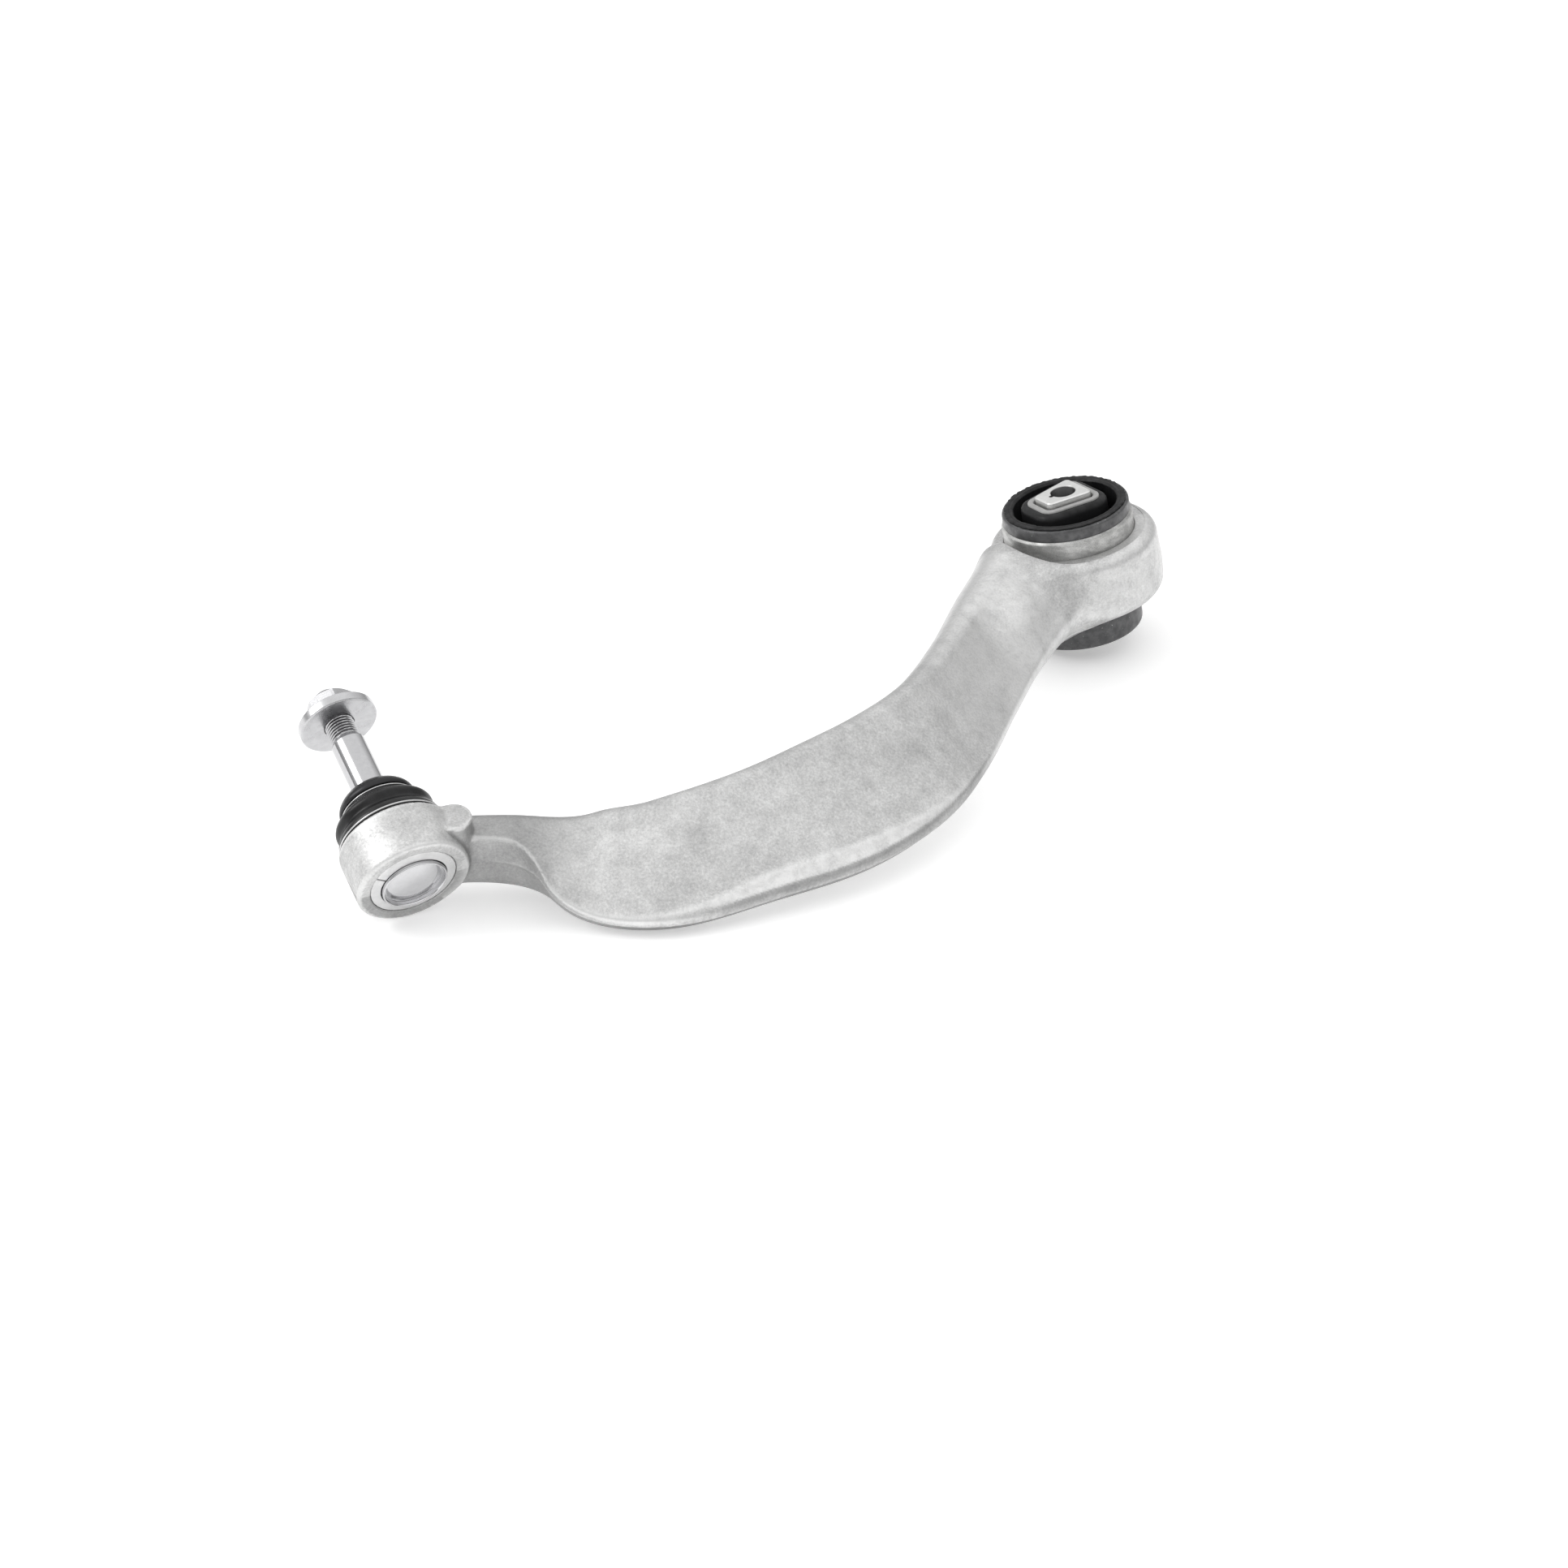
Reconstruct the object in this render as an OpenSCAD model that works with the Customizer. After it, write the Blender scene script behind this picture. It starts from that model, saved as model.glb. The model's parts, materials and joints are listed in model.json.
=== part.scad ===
// Forged aluminium control arm lying as it rests on a floor: a ball joint with a threaded stud
// and washer nut at one end, a curved dished strap, and a fluid-filled rubber bush at the other.
// Millimetres, +Z up. The origin is the middle of the bush's bore. +X runs from the ball joint
// towards the bush, +Y points to the side that the stud and the bush's strap run towards.

/* [Bush] */
// Tilt of the bush axis away from upright, towards the ball joint
bush_lean = 10; // [5:1:15]
// Diameter of the steel sleeve, which is also the eye's bore
sleeve_d = 67; // [65:0.5:68]
// Wall of the steel sleeve
sleeve_wall = 2; // [1.5:0.25:2.5]
// Distance from the bush's middle to the rim of the rubber at either end
rim_z = 34.75; // [33:0.25:36]
// Outer diameter of the upper collar
top_collar_d = 65.2; // [64:0.2:66]
// Outer diameter of the lower collar
bottom_collar_d = 62.8; // [61:0.2:64]
// Diameter of the recess inside the rubber rim
recess_d = 53; // [50:1:54]
// Length of the aluminium core between its clamped ends
core_len = 81.5; // [78:0.5:84]
// Diameter of the bolt hole through the core
core_bore_d = 12.5; // [10.5:0.5:14.5]
// Turn of the core's long direction away from +X
core_turn = 31; // [0:1:60]

/* [Eye] */
// Outer diameter of the ring that holds the bush
eye_d = 86; // [84:0.5:92]
// Height of the eye's machined top face above the bush's middle
eye_top = 18; // [16:1:20]
// Depth of the eye's bottom face below the bush's middle
eye_bottom = 17; // [15:1:19]
// Shift of the eye's outside away from the ball joint, so that its far wall is the thicker one
eye_shift = 1.6; // [0:0.2:2]
// Radius along the eye's outer edges
eye_round = 7; // [4:1:9]

/* [Ball joint] */
// Centre of the ball
ball_at = [-320, -278, -12];
// Bearing of the stud away from +Y, towards -X
stud_bearing = 27.4; // [20:0.2:35]
// Rise of the stud above the floor
stud_rise = 24.5; // [18:0.5:30]
// Diameter of the ball
ball_d = 27; // [25:0.5:28]
// Outer diameter of the ball joint's housing
housing_d = 53; // [50:0.5:56]
// Distance from the ball's centre to the housing's closed end
housing_below = 16; // [15:0.5:18]
// Distance from the ball's centre to the housing's open end
housing_above = 9; // [8:0.5:9.5]
// Diameter of the stud's plain shank
shank_d = 16; // [15:0.1:17]
// Outer diameter of the stud's thread
thread_d = 13.9; // [13.7:0.1:14]
// Distance from the ball's centre to the start of the thread
thread_from = 67.5; // [64:0.5:70]
// Distance from the ball's centre to the stud's tip
stud_tip = 95; // [92:1:100]
// Distance from the ball's centre to the face of the nut's washer
washer_at = 77.2; // [74:0.2:80]
// Diameter of the washer
washer_d = 37; // [32:0.5:40]
// Thickness of the washer
washer_t = 5; // [4:0.5:6]
// Width across the nut's flats
nut_flats = 21; // [19:1:22]
// Height of the nut above its washer
nut_h = 9; // [7:0.5:11]

/* [Strap] */
// Steps from one hand-set section of the strap to the next
strap_steps = 2; // [1:1:3]
// Points round one section of the strap
strap_points = 16; // [12:4:20]
// Squareness of the strap's section, where 2 is an ellipse
strap_square = 3.2; // [2.4:0.2:4]

/* [Hidden] */
$fn = 96;
fit_gap = 0.05;      // radial room of the ball in its race and of the nut on its thread
nested_gap = 0.3;    // room between pieces that move past each other
race_d = 34.8;       // outside of the race, and the socket's bore
race_lip = 6;        // the race reaches this far above the ball's centre
mouth_d = 33;        // open mouth of the housing
ring_d = 41;         // counterbore that takes the retaining ring
ring_depth = 2.6;
cap_d = 30.8;        // raised part of the closing cap
cap_out = 2;         // the cap stands this far out of the housing
spigot_d = 43.4;     // lip of the housing inside the boot's foot
boot_wall = 2.2;
dome_d = 36.2;       // widest diameter of the seal collar
dome_from = 28.4;    // height of the seal collar's edge above the ball's centre
lining_d = sleeve_d - 2 * sleeve_wall;
rim_d = 61.8;        // outside of the rubber rim, inside the upper collar
foot_d = 58.4;       // inside of the lower collar
sleeve_top = 27.8;
sleeve_bottom = -eye_bottom + 0.5;
shell_d = 59;        // inside of the fluid channel shells
shell_h = 18;
cage_d = 59;         // outside of the cage rings buried in the lining
cage_wall = 1.5;
cage_z = 12;         // each cage ring lies between this height and cage_h more
cage_h = 4;
bond_gap = 0.1;      // room between the rubber and what it is bonded to
block_reach = 20.5;  // half width of the rubber block between the two voids
core_front = 13.5;   // core's narrow end, from the bore's centre
core_back = 10.5;    // core's wide end
core_front_half = 7.5;
core_back_half = 10.8;
core_round = 2.5;
ring_top = rim_z + 3.2; // outer face of the stop rings
ring_t = 2.2;
ring_grow = 4.2;     // the stop ring reaches this far out from the core
block_top = rim_z + 2.4;
boss_r = 8;          // small round boss beside the housing
boss_at = [-295.5, -268.5, 2.8];
boss_tip = 10;       // the boss leans this much towards -Y
boss_h = 16;

// ---- placing ----

// Puts children drawn about Z at the bush, whose axis leans towards the ball joint
module at_bush() {
    rotate([0, -bush_lean, 0]) children();
}

// Puts children drawn about Z at the ball joint, with Z along the stud
module at_ball() {
    translate(ball_at) rotate([0, 0, stud_bearing]) rotate([stud_rise - 90, 0, 0]) children();
}

// A tube from z0 to z1
module tube(d_out, d_in, z0, z1) {
    difference() {
        translate([0, 0, z0]) cylinder(d = d_out, h = z1 - z0);
        translate([0, 0, z0 - 1]) cylinder(d = d_in, h = z1 - z0 + 2);
    }
}

// ---- strap ----

// Hand-set sections from the housing to the eye. Each is
// [centre x, y, z, width of the broad face, thickness, tilt of the broad face]
sections = [
    [-300, -265, -15, 22, 32, 0],
    [-282, -263.5, -16.5, 22, 33, 3],
    [-266, -262.5, -18.7, 25, 33, 8],
    [-251, -265, -21.5, 35, 29, 24],
    [-234, -271, -22, 53, 20, 40],
    [-203, -273, -20, 61, 16, 42],
    [-163, -255, -16.5, 63, 16, 40],
    [-126, -231, -14, 68, 16, 37],
    [-96, -199, -12.5, 65, 16.5, 38],
    [-74, -160, -11, 57, 17, 42],
    [-57, -113, -9.5, 53, 18, 43],
    [-42, -67, -7.5, 54, 21, 40],
    [-24, -25, -3, 58, 27, 26]
];

function unit(v) = v / norm(v);

// Smooth curve through four rows, a Catmull-Rom spline, at t from 0 to 1 between b and c
function between(a, b, c, d, t) =
    b + 0.5 * t * (c - a + t * (2 * a - 5 * b + 4 * c - d + t * (3 * (b - c) + d - a)));

function section_row(i) = sections[max(0, min(len(sections) - 1, i))];

strap_rows = concat(
    [for (i = [0 : len(sections) - 2]) for (j = [0 : strap_steps - 1])
        between(section_row(i - 1), section_row(i), section_row(i + 1), section_row(i + 2),
                j / strap_steps)],
    [section_row(len(sections) - 1)]);

function row_place(i) = [strap_rows[i][0], strap_rows[i][1], strap_rows[i][2]];
function row_ahead(i) =
    unit(row_place(min(i + 1, len(strap_rows) - 1)) - row_place(max(i - 1, 0)));

// Rounded box: the sign of v with its size raised to a power under 1
function boxy(v) = sign(v) * pow(abs(v), 2 / strap_square);

// One point of section i, at angle a round it
function strap_point(i, a) =
    let (row = strap_rows[i],
         ahead = row_ahead(i),
         inward = unit(cross([0, 0, 1], ahead)),
         up = cross(ahead, inward),
         wide = cos(row[5]) * inward + sin(row[5]) * up,
         thick = cross(ahead, wide))
    row_place(i) + wide * row[3] / 2 * boxy(cos(a)) + thick * row[4] / 2 * boxy(sin(a));

module strap() {
    n = len(strap_rows);
    m = strap_points;
    points = [for (i = [0 : n - 1]) for (k = [0 : m - 1]) strap_point(i, 360 * (k + 0.5) / m)];
    sides = [for (i = [0 : n - 2]) for (k = [0 : m - 1])
        let (p = i * m + k, q = i * m + (k + 1) % m)
        each [[p, p + m, q], [q, p + m, q + m]]];
    near_end = [for (k = [1 : m - 2]) [0, k, k + 1]];
    far_end = [for (k = [1 : m - 2]) [(n - 1) * m, (n - 1) * m + k + 1, (n - 1) * m + k]];
    polyhedron(points, concat(sides, near_end, far_end));
}

// ---- arm ----

// Half of the eye's outline, with rounded outer corners
module eye_outline() {
    r = eye_d / 2;
    h = eye_top + eye_bottom;
    translate([0, -eye_bottom]) square([r - eye_round, h]);
    translate([0, -eye_bottom + eye_round]) square([r, h - 2 * eye_round]);
    translate([r - eye_round, eye_top - eye_round]) circle(eye_round);
    translate([r - eye_round, -eye_bottom + eye_round]) circle(eye_round);
}

module housing_outside() {
    chamfer = 1;
    translate([0, 0, -housing_below])
        cylinder(d1 = housing_d - 2 * chamfer, d2 = housing_d, h = chamfer);
    translate([0, 0, -housing_below + chamfer])
        cylinder(d = housing_d, h = housing_below + housing_above - chamfer);
    translate([0, 0, housing_above]) cylinder(d = spigot_d, h = 2.6);
}

module housing_inside() {
    translate([0, 0, -housing_below - 1]) cylinder(d = ring_d, h = ring_depth + 1);
    translate([0, 0, -housing_below - 1])
        cylinder(d = race_d, h = housing_below + 1 + race_lip + nested_gap);
    cylinder(d = mouth_d, h = housing_above + 4);
}

module boss() {
    translate(boss_at) rotate([boss_tip, 0, 0]) translate([0, 0, -boss_h])
        cylinder(r = boss_r, h = boss_h);
}

module arm_forging() {
    color("silver") difference() {
        union() {
            strap();
            at_bush() translate([eye_shift, 0, 0]) rotate_extrude() eye_outline();
            at_ball() housing_outside();
            boss();
        }
        at_bush() translate([0, 0, -eye_bottom - 30]) cylinder(d = sleeve_d, h = 90);
        at_ball() housing_inside();
    }
}

// ---- bush ----

module bush_sleeve() {
    color("gray") at_bush() tube(sleeve_d, lining_d, sleeve_bottom, sleeve_top);
}

module top_collar() {
    color("dimgray") at_bush() tube(top_collar_d, rim_d, sleeve_top, rim_z - 1);
}

module bottom_collar() {
    color("dimgray") at_bush() tube(bottom_collar_d, foot_d + bond_gap, -rim_z, sleeve_bottom);
}

// Rubber bonded inside the sleeve, with pockets for the channel shells and the cage rings
module rubber_lining() {
    color("black") at_bush() {
        difference() {
            union() {
                tube(rim_d, recess_d, sleeve_top, rim_z);
                tube(lining_d, recess_d, sleeve_bottom, sleeve_top);
                tube(foot_d, recess_d, -rim_z + 0.4, sleeve_bottom);
            }
            tube(lining_d + 1, shell_d - bond_gap, -shell_h / 2, shell_h / 2);
            for (z = [-cage_z - cage_h, cage_z]) cage_ring(z);
        }
    }
}

// Outline of the core: a trapezoid with rounded corners, grown outwards by grow
module core_outline(grow) {
    front = core_front - core_round;
    back = core_back - core_round;
    rotate(core_turn) hull() {
        for (side = [-1, 1]) {
            translate([-front, side * (core_front_half - core_round)])
                circle(core_round + grow, $fn = 32);
            translate([back, side * (core_back_half - core_round)])
                circle(core_round + grow, $fn = 32);
        }
    }
}

// Rubber round the core: a block at each end and a wide bar between the two voids
module rubber_block() {
    end_grow = 8;
    bar_z = 20;
    color("black") at_bush() difference() {
        union() {
            translate([0, 0, -block_top]) linear_extrude(2 * block_top) core_outline(end_grow);
            intersection() {
                translate([0, 0, -bar_z]) cylinder(d = recess_d, h = 2 * bar_z);
                translate([-block_reach, -recess_d, -bar_z])
                    cube([2 * block_reach, 2 * recess_d, 2 * bar_z]);
            }
        }
        translate([0, 0, -core_len]) linear_extrude(2 * core_len) core_outline(bond_gap);
        for (z = [ring_top - ring_t, -ring_top]) {
            translate([0, 0, z - bond_gap]) linear_extrude(ring_t + 2 * bond_gap)
                core_outline(ring_grow + bond_gap);
        }
    }
}

module inner_core() {
    notch_r = 1.5;
    notch_out = 0.8;
    color("lightgray") at_bush() difference() {
        translate([0, 0, -core_len / 2]) linear_extrude(core_len) core_outline(0);
        translate([0, 0, -core_len]) cylinder(d = core_bore_d, h = 2 * core_len);
        rotate(core_turn) translate([-core_bore_d / 2 - notch_out, 0, -core_len])
            cylinder(r = notch_r, h = 2 * core_len);
    }
}

// Light ring that lies on the rubber round the core's end
module stop_ring(z0) {
    color("darkgray") at_bush() difference() {
        translate([0, 0, z0]) linear_extrude(ring_t) core_outline(ring_grow);
        translate([0, 0, z0 - 1]) linear_extrude(ring_t + 2) core_outline(1.1);
    }
}

module stop_ring_top() { stop_ring(ring_top - ring_t); }

module stop_ring_bottom() { stop_ring(-ring_top); }

// Half of the plastic channel ring, with two fluid channels cut round its outside
module channel_shell(side) {
    channel_w = 4;
    color("white") at_bush() intersection() {
        difference() {
            tube(lining_d, shell_d, -shell_h / 2, shell_h / 2);
            for (z = [-6, 2]) tube(lining_d + 1, lining_d - 2.4, z, z + channel_w);
        }
        translate([-lining_d, side > 0 ? bond_gap : -lining_d - bond_gap, -shell_h])
            cube([2 * lining_d, lining_d, 2 * shell_h]);
    }
}

module channel_shell_front() { channel_shell(-1); }

module channel_shell_back() { channel_shell(1); }

module cage_ring(z0) {
    tube(cage_d, cage_d - 2 * cage_wall, z0, z0 + cage_h);
}

module cage_ring_upper() { color("slategray") at_bush() cage_ring(cage_z); }

module cage_ring_lower() { color("slategray") at_bush() cage_ring(-cage_z - cage_h); }

// ---- ball joint ----

module ball_race() {
    floor_z = -housing_below + ring_depth + 1.6;
    color("ivory") at_ball() difference() {
        translate([0, 0, floor_z]) cylinder(d = race_d, h = race_lip - floor_z);
        sphere(d = ball_d + 2 * fit_gap);
    }
}

// Pressed cap: a flange under the retaining ring and a raised, gently domed disc
module closing_cap() {
    face = -housing_below - cap_out;
    seat = -housing_below + ring_depth;
    color("lightsteelblue") at_ball() rotate_extrude() polygon([
        [0, face], [8, face + 0.15], [11.5, face + 0.5], [13.2, face + 1.1], [13.9, face + 1.9],
        [14.1, face + 0.9], [14.7, face + 0.3], [cap_d / 2, face + 0.8], [cap_d / 2, seat],
        [race_d / 2 - 0.1, seat], [race_d / 2 - 0.1, seat + 1.5], [12.5, seat + 1.5],
        [11.5, seat - 0.6], [0, seat - 0.6]]);
}

// Split ring that is rolled in over the cap's flange
module retaining_ring() {
    step = 0.4;
    split_w = 0.7;
    split_at = 205;
    color("gainsboro") at_ball() difference() {
        tube(ring_d, cap_d + 0.3, -housing_below + step, -housing_below + ring_depth);
        rotate(split_at) translate([cap_d / 2 - 1, -split_w / 2, -housing_below - 1])
            cube([8, split_w, 5]);
    }
}

// Outer half-outline of the boot as [radius, height above the ball's centre]
boot_outside = [
    [24.3, 9.3], [24.7, 10], [24.7, 12.4], [24, 14], [23, 15.2], [22.6, 16.2], [22.8, 17.4],
    [23.2, 18.8], [23.2, 20.2], [22.5, 21.8], [21, 23.2], [18.6, 24.5], [17.5, 25.8],
    [17.4, 27.45]];

module boot() {
    inside = [for (i = [len(boot_outside) - 1 : -1 : 0])
        [max(boot_outside[i][0] - boot_wall, 12), boot_outside[i][1]]];
    color("black") at_ball() rotate_extrude() polygon(concat(boot_outside, inside));
}

module boot_lower_ring() {
    color("silver") at_ball() translate([0, 0, 10.8]) rotate_extrude()
        translate([25.3, 0]) circle(d = 0.7, $fn = 24);
}

module boot_upper_ring() {
    color("silver") at_ball() tube(35.6, 17.6, 27.75, dome_from);
}

// Domed collar that turns with the stud and closes the boot
module seal_collar() {
    bore_r = shank_d / 2 + 0.1;
    r = dome_d / 2;
    color("dimgray") at_ball() rotate_extrude() polygon([
        [bore_r, dome_from], [r, dome_from], [r, dome_from + 1.4], [r - 0.7, dome_from + 3],
        [r - 2.4, dome_from + 5], [r - 4.6, dome_from + 6.8], [r - 7, dome_from + 8.1],
        [bore_r, dome_from + 8.8]]);
}

// Ball, waisted neck, plain shank, threaded end and a hexagon socket in its tip
module ball_stud() {
    shank_r = shank_d / 2;
    thread_r = thread_d / 2;
    flare_z = 24;
    socket_flats = 6;
    socket_depth = 6;
    dimple_d = 7;
    color("lightgray") at_ball() difference() {
        union() {
            sphere(d = ball_d);
            rotate_extrude() polygon([
                [0, 0], [7.2, 9], [7.2, 13], [shank_r, flare_z], [shank_r, thread_from - 0.8],
                [thread_r, thread_from], [thread_r, stud_tip - 1.2], [thread_r - 1.2, stud_tip],
                [0, stud_tip]]);
        }
        translate([0, 0, stud_tip - socket_depth])
            cylinder(d = socket_flats / cos(30), h = socket_depth + 1, $fn = 6);
        translate([0, 0, -ball_d / 2 - 1]) cylinder(d = dimple_d, h = 1.6);
    }
}

// Round washer, captive under the nut
module nut_washer() {
    edge = 0.6;
    bore_r = thread_d / 2 + fit_gap;
    r = washer_d / 2;
    color("gainsboro") at_ball() translate([0, 0, washer_at]) rotate_extrude() polygon([
        [bore_r, 0], [r - edge, 0], [r, edge], [r, washer_t - edge], [r - edge, washer_t],
        [bore_r, washer_t]]);
}

module collar_nut() {
    corner_r = nut_flats / 2 / cos(30);
    color("gainsboro") at_ball() translate([0, 0, washer_at + washer_t + 0.1]) difference() {
        intersection() {
            cylinder(r = corner_r, h = nut_h, $fn = 6);
            cylinder(r1 = corner_r + 4, r2 = nut_flats / 2 - 0.4, h = nut_h + 2.6);
        }
        translate([0, 0, -1]) cylinder(r = thread_d / 2 + fit_gap, h = nut_h + 2);
    }
}

arm_forging();
bush_sleeve();
top_collar();
bottom_collar();
rubber_lining();
rubber_block();
inner_core();
stop_ring_top();
stop_ring_bottom();
channel_shell_front();
channel_shell_back();
cage_ring_upper();
cage_ring_lower();
ball_race();
closing_cap();
retaining_ring();
boot();
boot_lower_ring();
boot_upper_ring();
seal_collar();
ball_stud();
nut_washer();
collar_nut();
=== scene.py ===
"""Looks of a forged aluminium control arm with a ball joint and a rubber bush.

Every shape is worked out in millimetres with numpy, as whole arrays, and a Place puts it into the frame.
"""

import json
import math
from types import SimpleNamespace

import bpy
import numpy as np
import openvdb
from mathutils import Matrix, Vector


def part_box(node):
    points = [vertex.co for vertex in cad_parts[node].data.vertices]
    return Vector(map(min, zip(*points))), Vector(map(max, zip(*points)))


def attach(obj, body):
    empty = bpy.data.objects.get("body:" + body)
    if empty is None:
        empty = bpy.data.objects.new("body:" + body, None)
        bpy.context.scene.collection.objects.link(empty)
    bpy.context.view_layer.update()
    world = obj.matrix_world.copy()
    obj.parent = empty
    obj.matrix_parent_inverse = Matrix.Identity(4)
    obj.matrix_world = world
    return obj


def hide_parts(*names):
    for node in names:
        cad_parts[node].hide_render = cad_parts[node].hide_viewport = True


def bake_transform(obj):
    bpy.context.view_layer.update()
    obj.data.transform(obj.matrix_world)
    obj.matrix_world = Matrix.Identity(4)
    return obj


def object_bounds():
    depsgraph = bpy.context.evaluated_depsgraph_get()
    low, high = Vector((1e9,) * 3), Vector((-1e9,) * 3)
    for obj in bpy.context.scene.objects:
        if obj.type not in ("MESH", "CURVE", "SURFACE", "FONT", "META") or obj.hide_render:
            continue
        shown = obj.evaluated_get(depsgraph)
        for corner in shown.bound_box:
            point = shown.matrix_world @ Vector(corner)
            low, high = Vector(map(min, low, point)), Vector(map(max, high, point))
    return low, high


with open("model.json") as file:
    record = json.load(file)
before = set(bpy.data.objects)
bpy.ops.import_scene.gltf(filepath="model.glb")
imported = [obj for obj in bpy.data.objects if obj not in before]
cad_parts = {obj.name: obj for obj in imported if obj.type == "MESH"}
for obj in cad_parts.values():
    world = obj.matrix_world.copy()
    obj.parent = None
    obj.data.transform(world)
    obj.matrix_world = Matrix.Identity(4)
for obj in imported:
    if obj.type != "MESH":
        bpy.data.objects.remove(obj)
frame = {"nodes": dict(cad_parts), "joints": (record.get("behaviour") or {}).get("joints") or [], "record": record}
CAD_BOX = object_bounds()

MM = 0.001
JOINT = {j["name"]: j for j in frame["joints"]}
MOUNT = {m["name"]: m for m in frame["record"]["mounts"]}


# ---------------------------------------------------------------- places


def unit(v):
    """v scaled to length 1."""
    v = np.asarray(v, float)
    return v / np.linalg.norm(v)


class Place:
    """A piece's own axes: origin in metres, and Z and X directions in the frame."""

    def __init__(self, origin, z, x):
        self.origin = np.asarray(origin, float)
        z = unit(z)
        x = unit(np.asarray(x, float) - np.dot(x, z) * z)
        self.axes = np.array([x, np.cross(z, x), z])

    def out(self, p):
        """Own millimetres to frame metres."""
        return self.origin + (p * MM) @ self.axes

    def own(self, p):
        """Frame millimetres to own millimetres."""
        return (p - self.origin / MM) @ self.axes.T


BALL = Place(JOINT["stud_tilt"]["pos_m"], JOINT["stud_spin"]["axis"], JOINT["stud_tilt"]["axis"])
BUSH = Place(MOUNT["bush_bore"]["pos_m"], MOUNT["bush_bore"]["axis"], (1, 0, 0))


# ---------------------------------------------------------------- mesh makers


def put_mesh(name, points, quads, tris=None, sharp=35):
    """A mesh object from frame points and face index arrays, turned so that its volume is positive."""
    tris = np.zeros((0, 3), int) if tris is None else tris
    both = np.concatenate([tris, quads[:, [0, 1, 2]], quads[:, [0, 2, 3]]])
    a, b, c = points[both[:, 0]], points[both[:, 1]], points[both[:, 2]]
    if np.einsum("ij,ij->i", a, np.cross(b, c)).sum() < 0:
        quads, tris = quads[:, ::-1], tris[:, ::-1]
    mesh = bpy.data.meshes.new(name)
    mesh.vertices.add(len(points))
    mesh.vertices.foreach_set("co", np.ascontiguousarray(points, np.float32).ravel())
    loops = np.concatenate([quads.ravel(), tris.ravel()]).astype(np.int32)
    sizes = np.concatenate([np.full(len(quads), 4), np.full(len(tris), 3)])
    starts = np.concatenate([[0], np.cumsum(sizes)[:-1]]).astype(np.int32)
    mesh.loops.add(len(loops))
    mesh.loops.foreach_set("vertex_index", loops)
    mesh.polygons.add(len(sizes))
    mesh.polygons.foreach_set("loop_start", starts)
    mesh.update(calc_edges=True)
    mesh.validate()
    mesh.shade_smooth()
    mesh.set_sharp_from_angle(angle=math.radians(sharp))
    piece = bpy.data.objects.new(name, mesh)
    bpy.context.scene.collection.objects.link(piece)
    return piece


def ringed(name, rings, place, loop=False, sharp=35):
    """Closed surface through rings, an array (m, n, 3) of points. Neighbours along m and n are joined.
    The n way round always closes; the m way closes on itself if loop is set, or else ends in a point at
    each end."""
    m, n = rings.shape[:2]
    rows = np.arange(m if loop else m - 1)[:, None]
    cols = np.arange(n)[None, :]
    a = rows * n + cols
    b = rows * n + (cols + 1) % n
    c = ((rows + 1) % m) * n + (cols + 1) % n
    d = ((rows + 1) % m) * n + cols
    quads = np.stack([a, b, c, d], -1).reshape(-1, 4)
    points = rings.reshape(-1, 3)
    tris = None
    if not loop:
        points = np.concatenate([points, rings[:1].mean(1), rings[-1:].mean(1)])
        k = np.arange(n)
        first = np.stack([np.full(n, m * n), (k + 1) % n, k], -1)
        last = np.stack([np.full(n, m * n + 1), (m - 1) * n + k, (m - 1) * n + (k + 1) % n], -1)
        tris = np.concatenate([first, last])
    return put_mesh(name, place.out(points), quads, tris, sharp)


def eased(corners, radius, closed=True, steps=4):
    """A polyline whose corners are each replaced by a parabola that leaves and meets the sides radius away
    from the corner, and never past 0.45 of a side."""
    c = np.asarray(corners, float)
    r = np.broadcast_to(np.asarray(radius, float), len(c))
    before, after = np.roll(c, 1, 0) - c, np.roll(c, -1, 0) - c
    lb, la = np.linalg.norm(before, axis=1), np.linalg.norm(after, axis=1)
    rb, ra = np.minimum(r, 0.45 * lb), np.minimum(r, 0.45 * la)
    start = c + before * (rb / np.maximum(lb, 1e-9))[:, None]
    end = c + after * (ra / np.maximum(la, 1e-9))[:, None]
    t = np.linspace(0, 1, steps + 1)[None, :, None]
    curve = (1 - t) ** 2 * start[:, None] + 2 * t * (1 - t) * c[:, None] + t**2 * end[:, None]
    if not closed:
        curve[0], curve[-1] = c[0], c[-1]
    flat = curve.reshape(-1, c.shape[1])
    keep = np.concatenate([[True], np.linalg.norm(np.diff(flat, axis=0), axis=1) > 1e-6])
    return flat[keep]


def turned(name, profile, place, n=160, loop=True, wave=None, sharp=35):
    """Surface of turn: each (radius, height) of the profile is carried round the axis. wave(angle,
    radius, height) gives what is added to the radius and to the height."""
    profile = np.asarray(profile, float)
    angle = np.linspace(0, 2 * np.pi, n, endpoint=False)[None, :]
    r, z = profile[:, :1] + 0 * angle, profile[:, 1:] + 0 * angle
    if wave is not None:
        dr, dz = wave(angle + 0 * r, r, z)
        r, z = r + dr, z + dz
    return ringed(name, np.stack([r * np.cos(angle), r * np.sin(angle), z], -1), place, loop, sharp)


def ramp(x, low, high):
    """0 below low, 1 above high, and an S curve between them."""
    t = np.clip((x - low) / (high - low), 0, 1)
    return t * t * (3 - 2 * t)


def fade(x, low, high):
    """1 below low, 0 above high, and an S curve between them."""
    return 1 - ramp(x, low, high)


def hump(x, middle, width):
    """A bell curve of height 1 at middle."""
    return np.exp(-(((x - middle) / width) ** 2))


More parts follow.
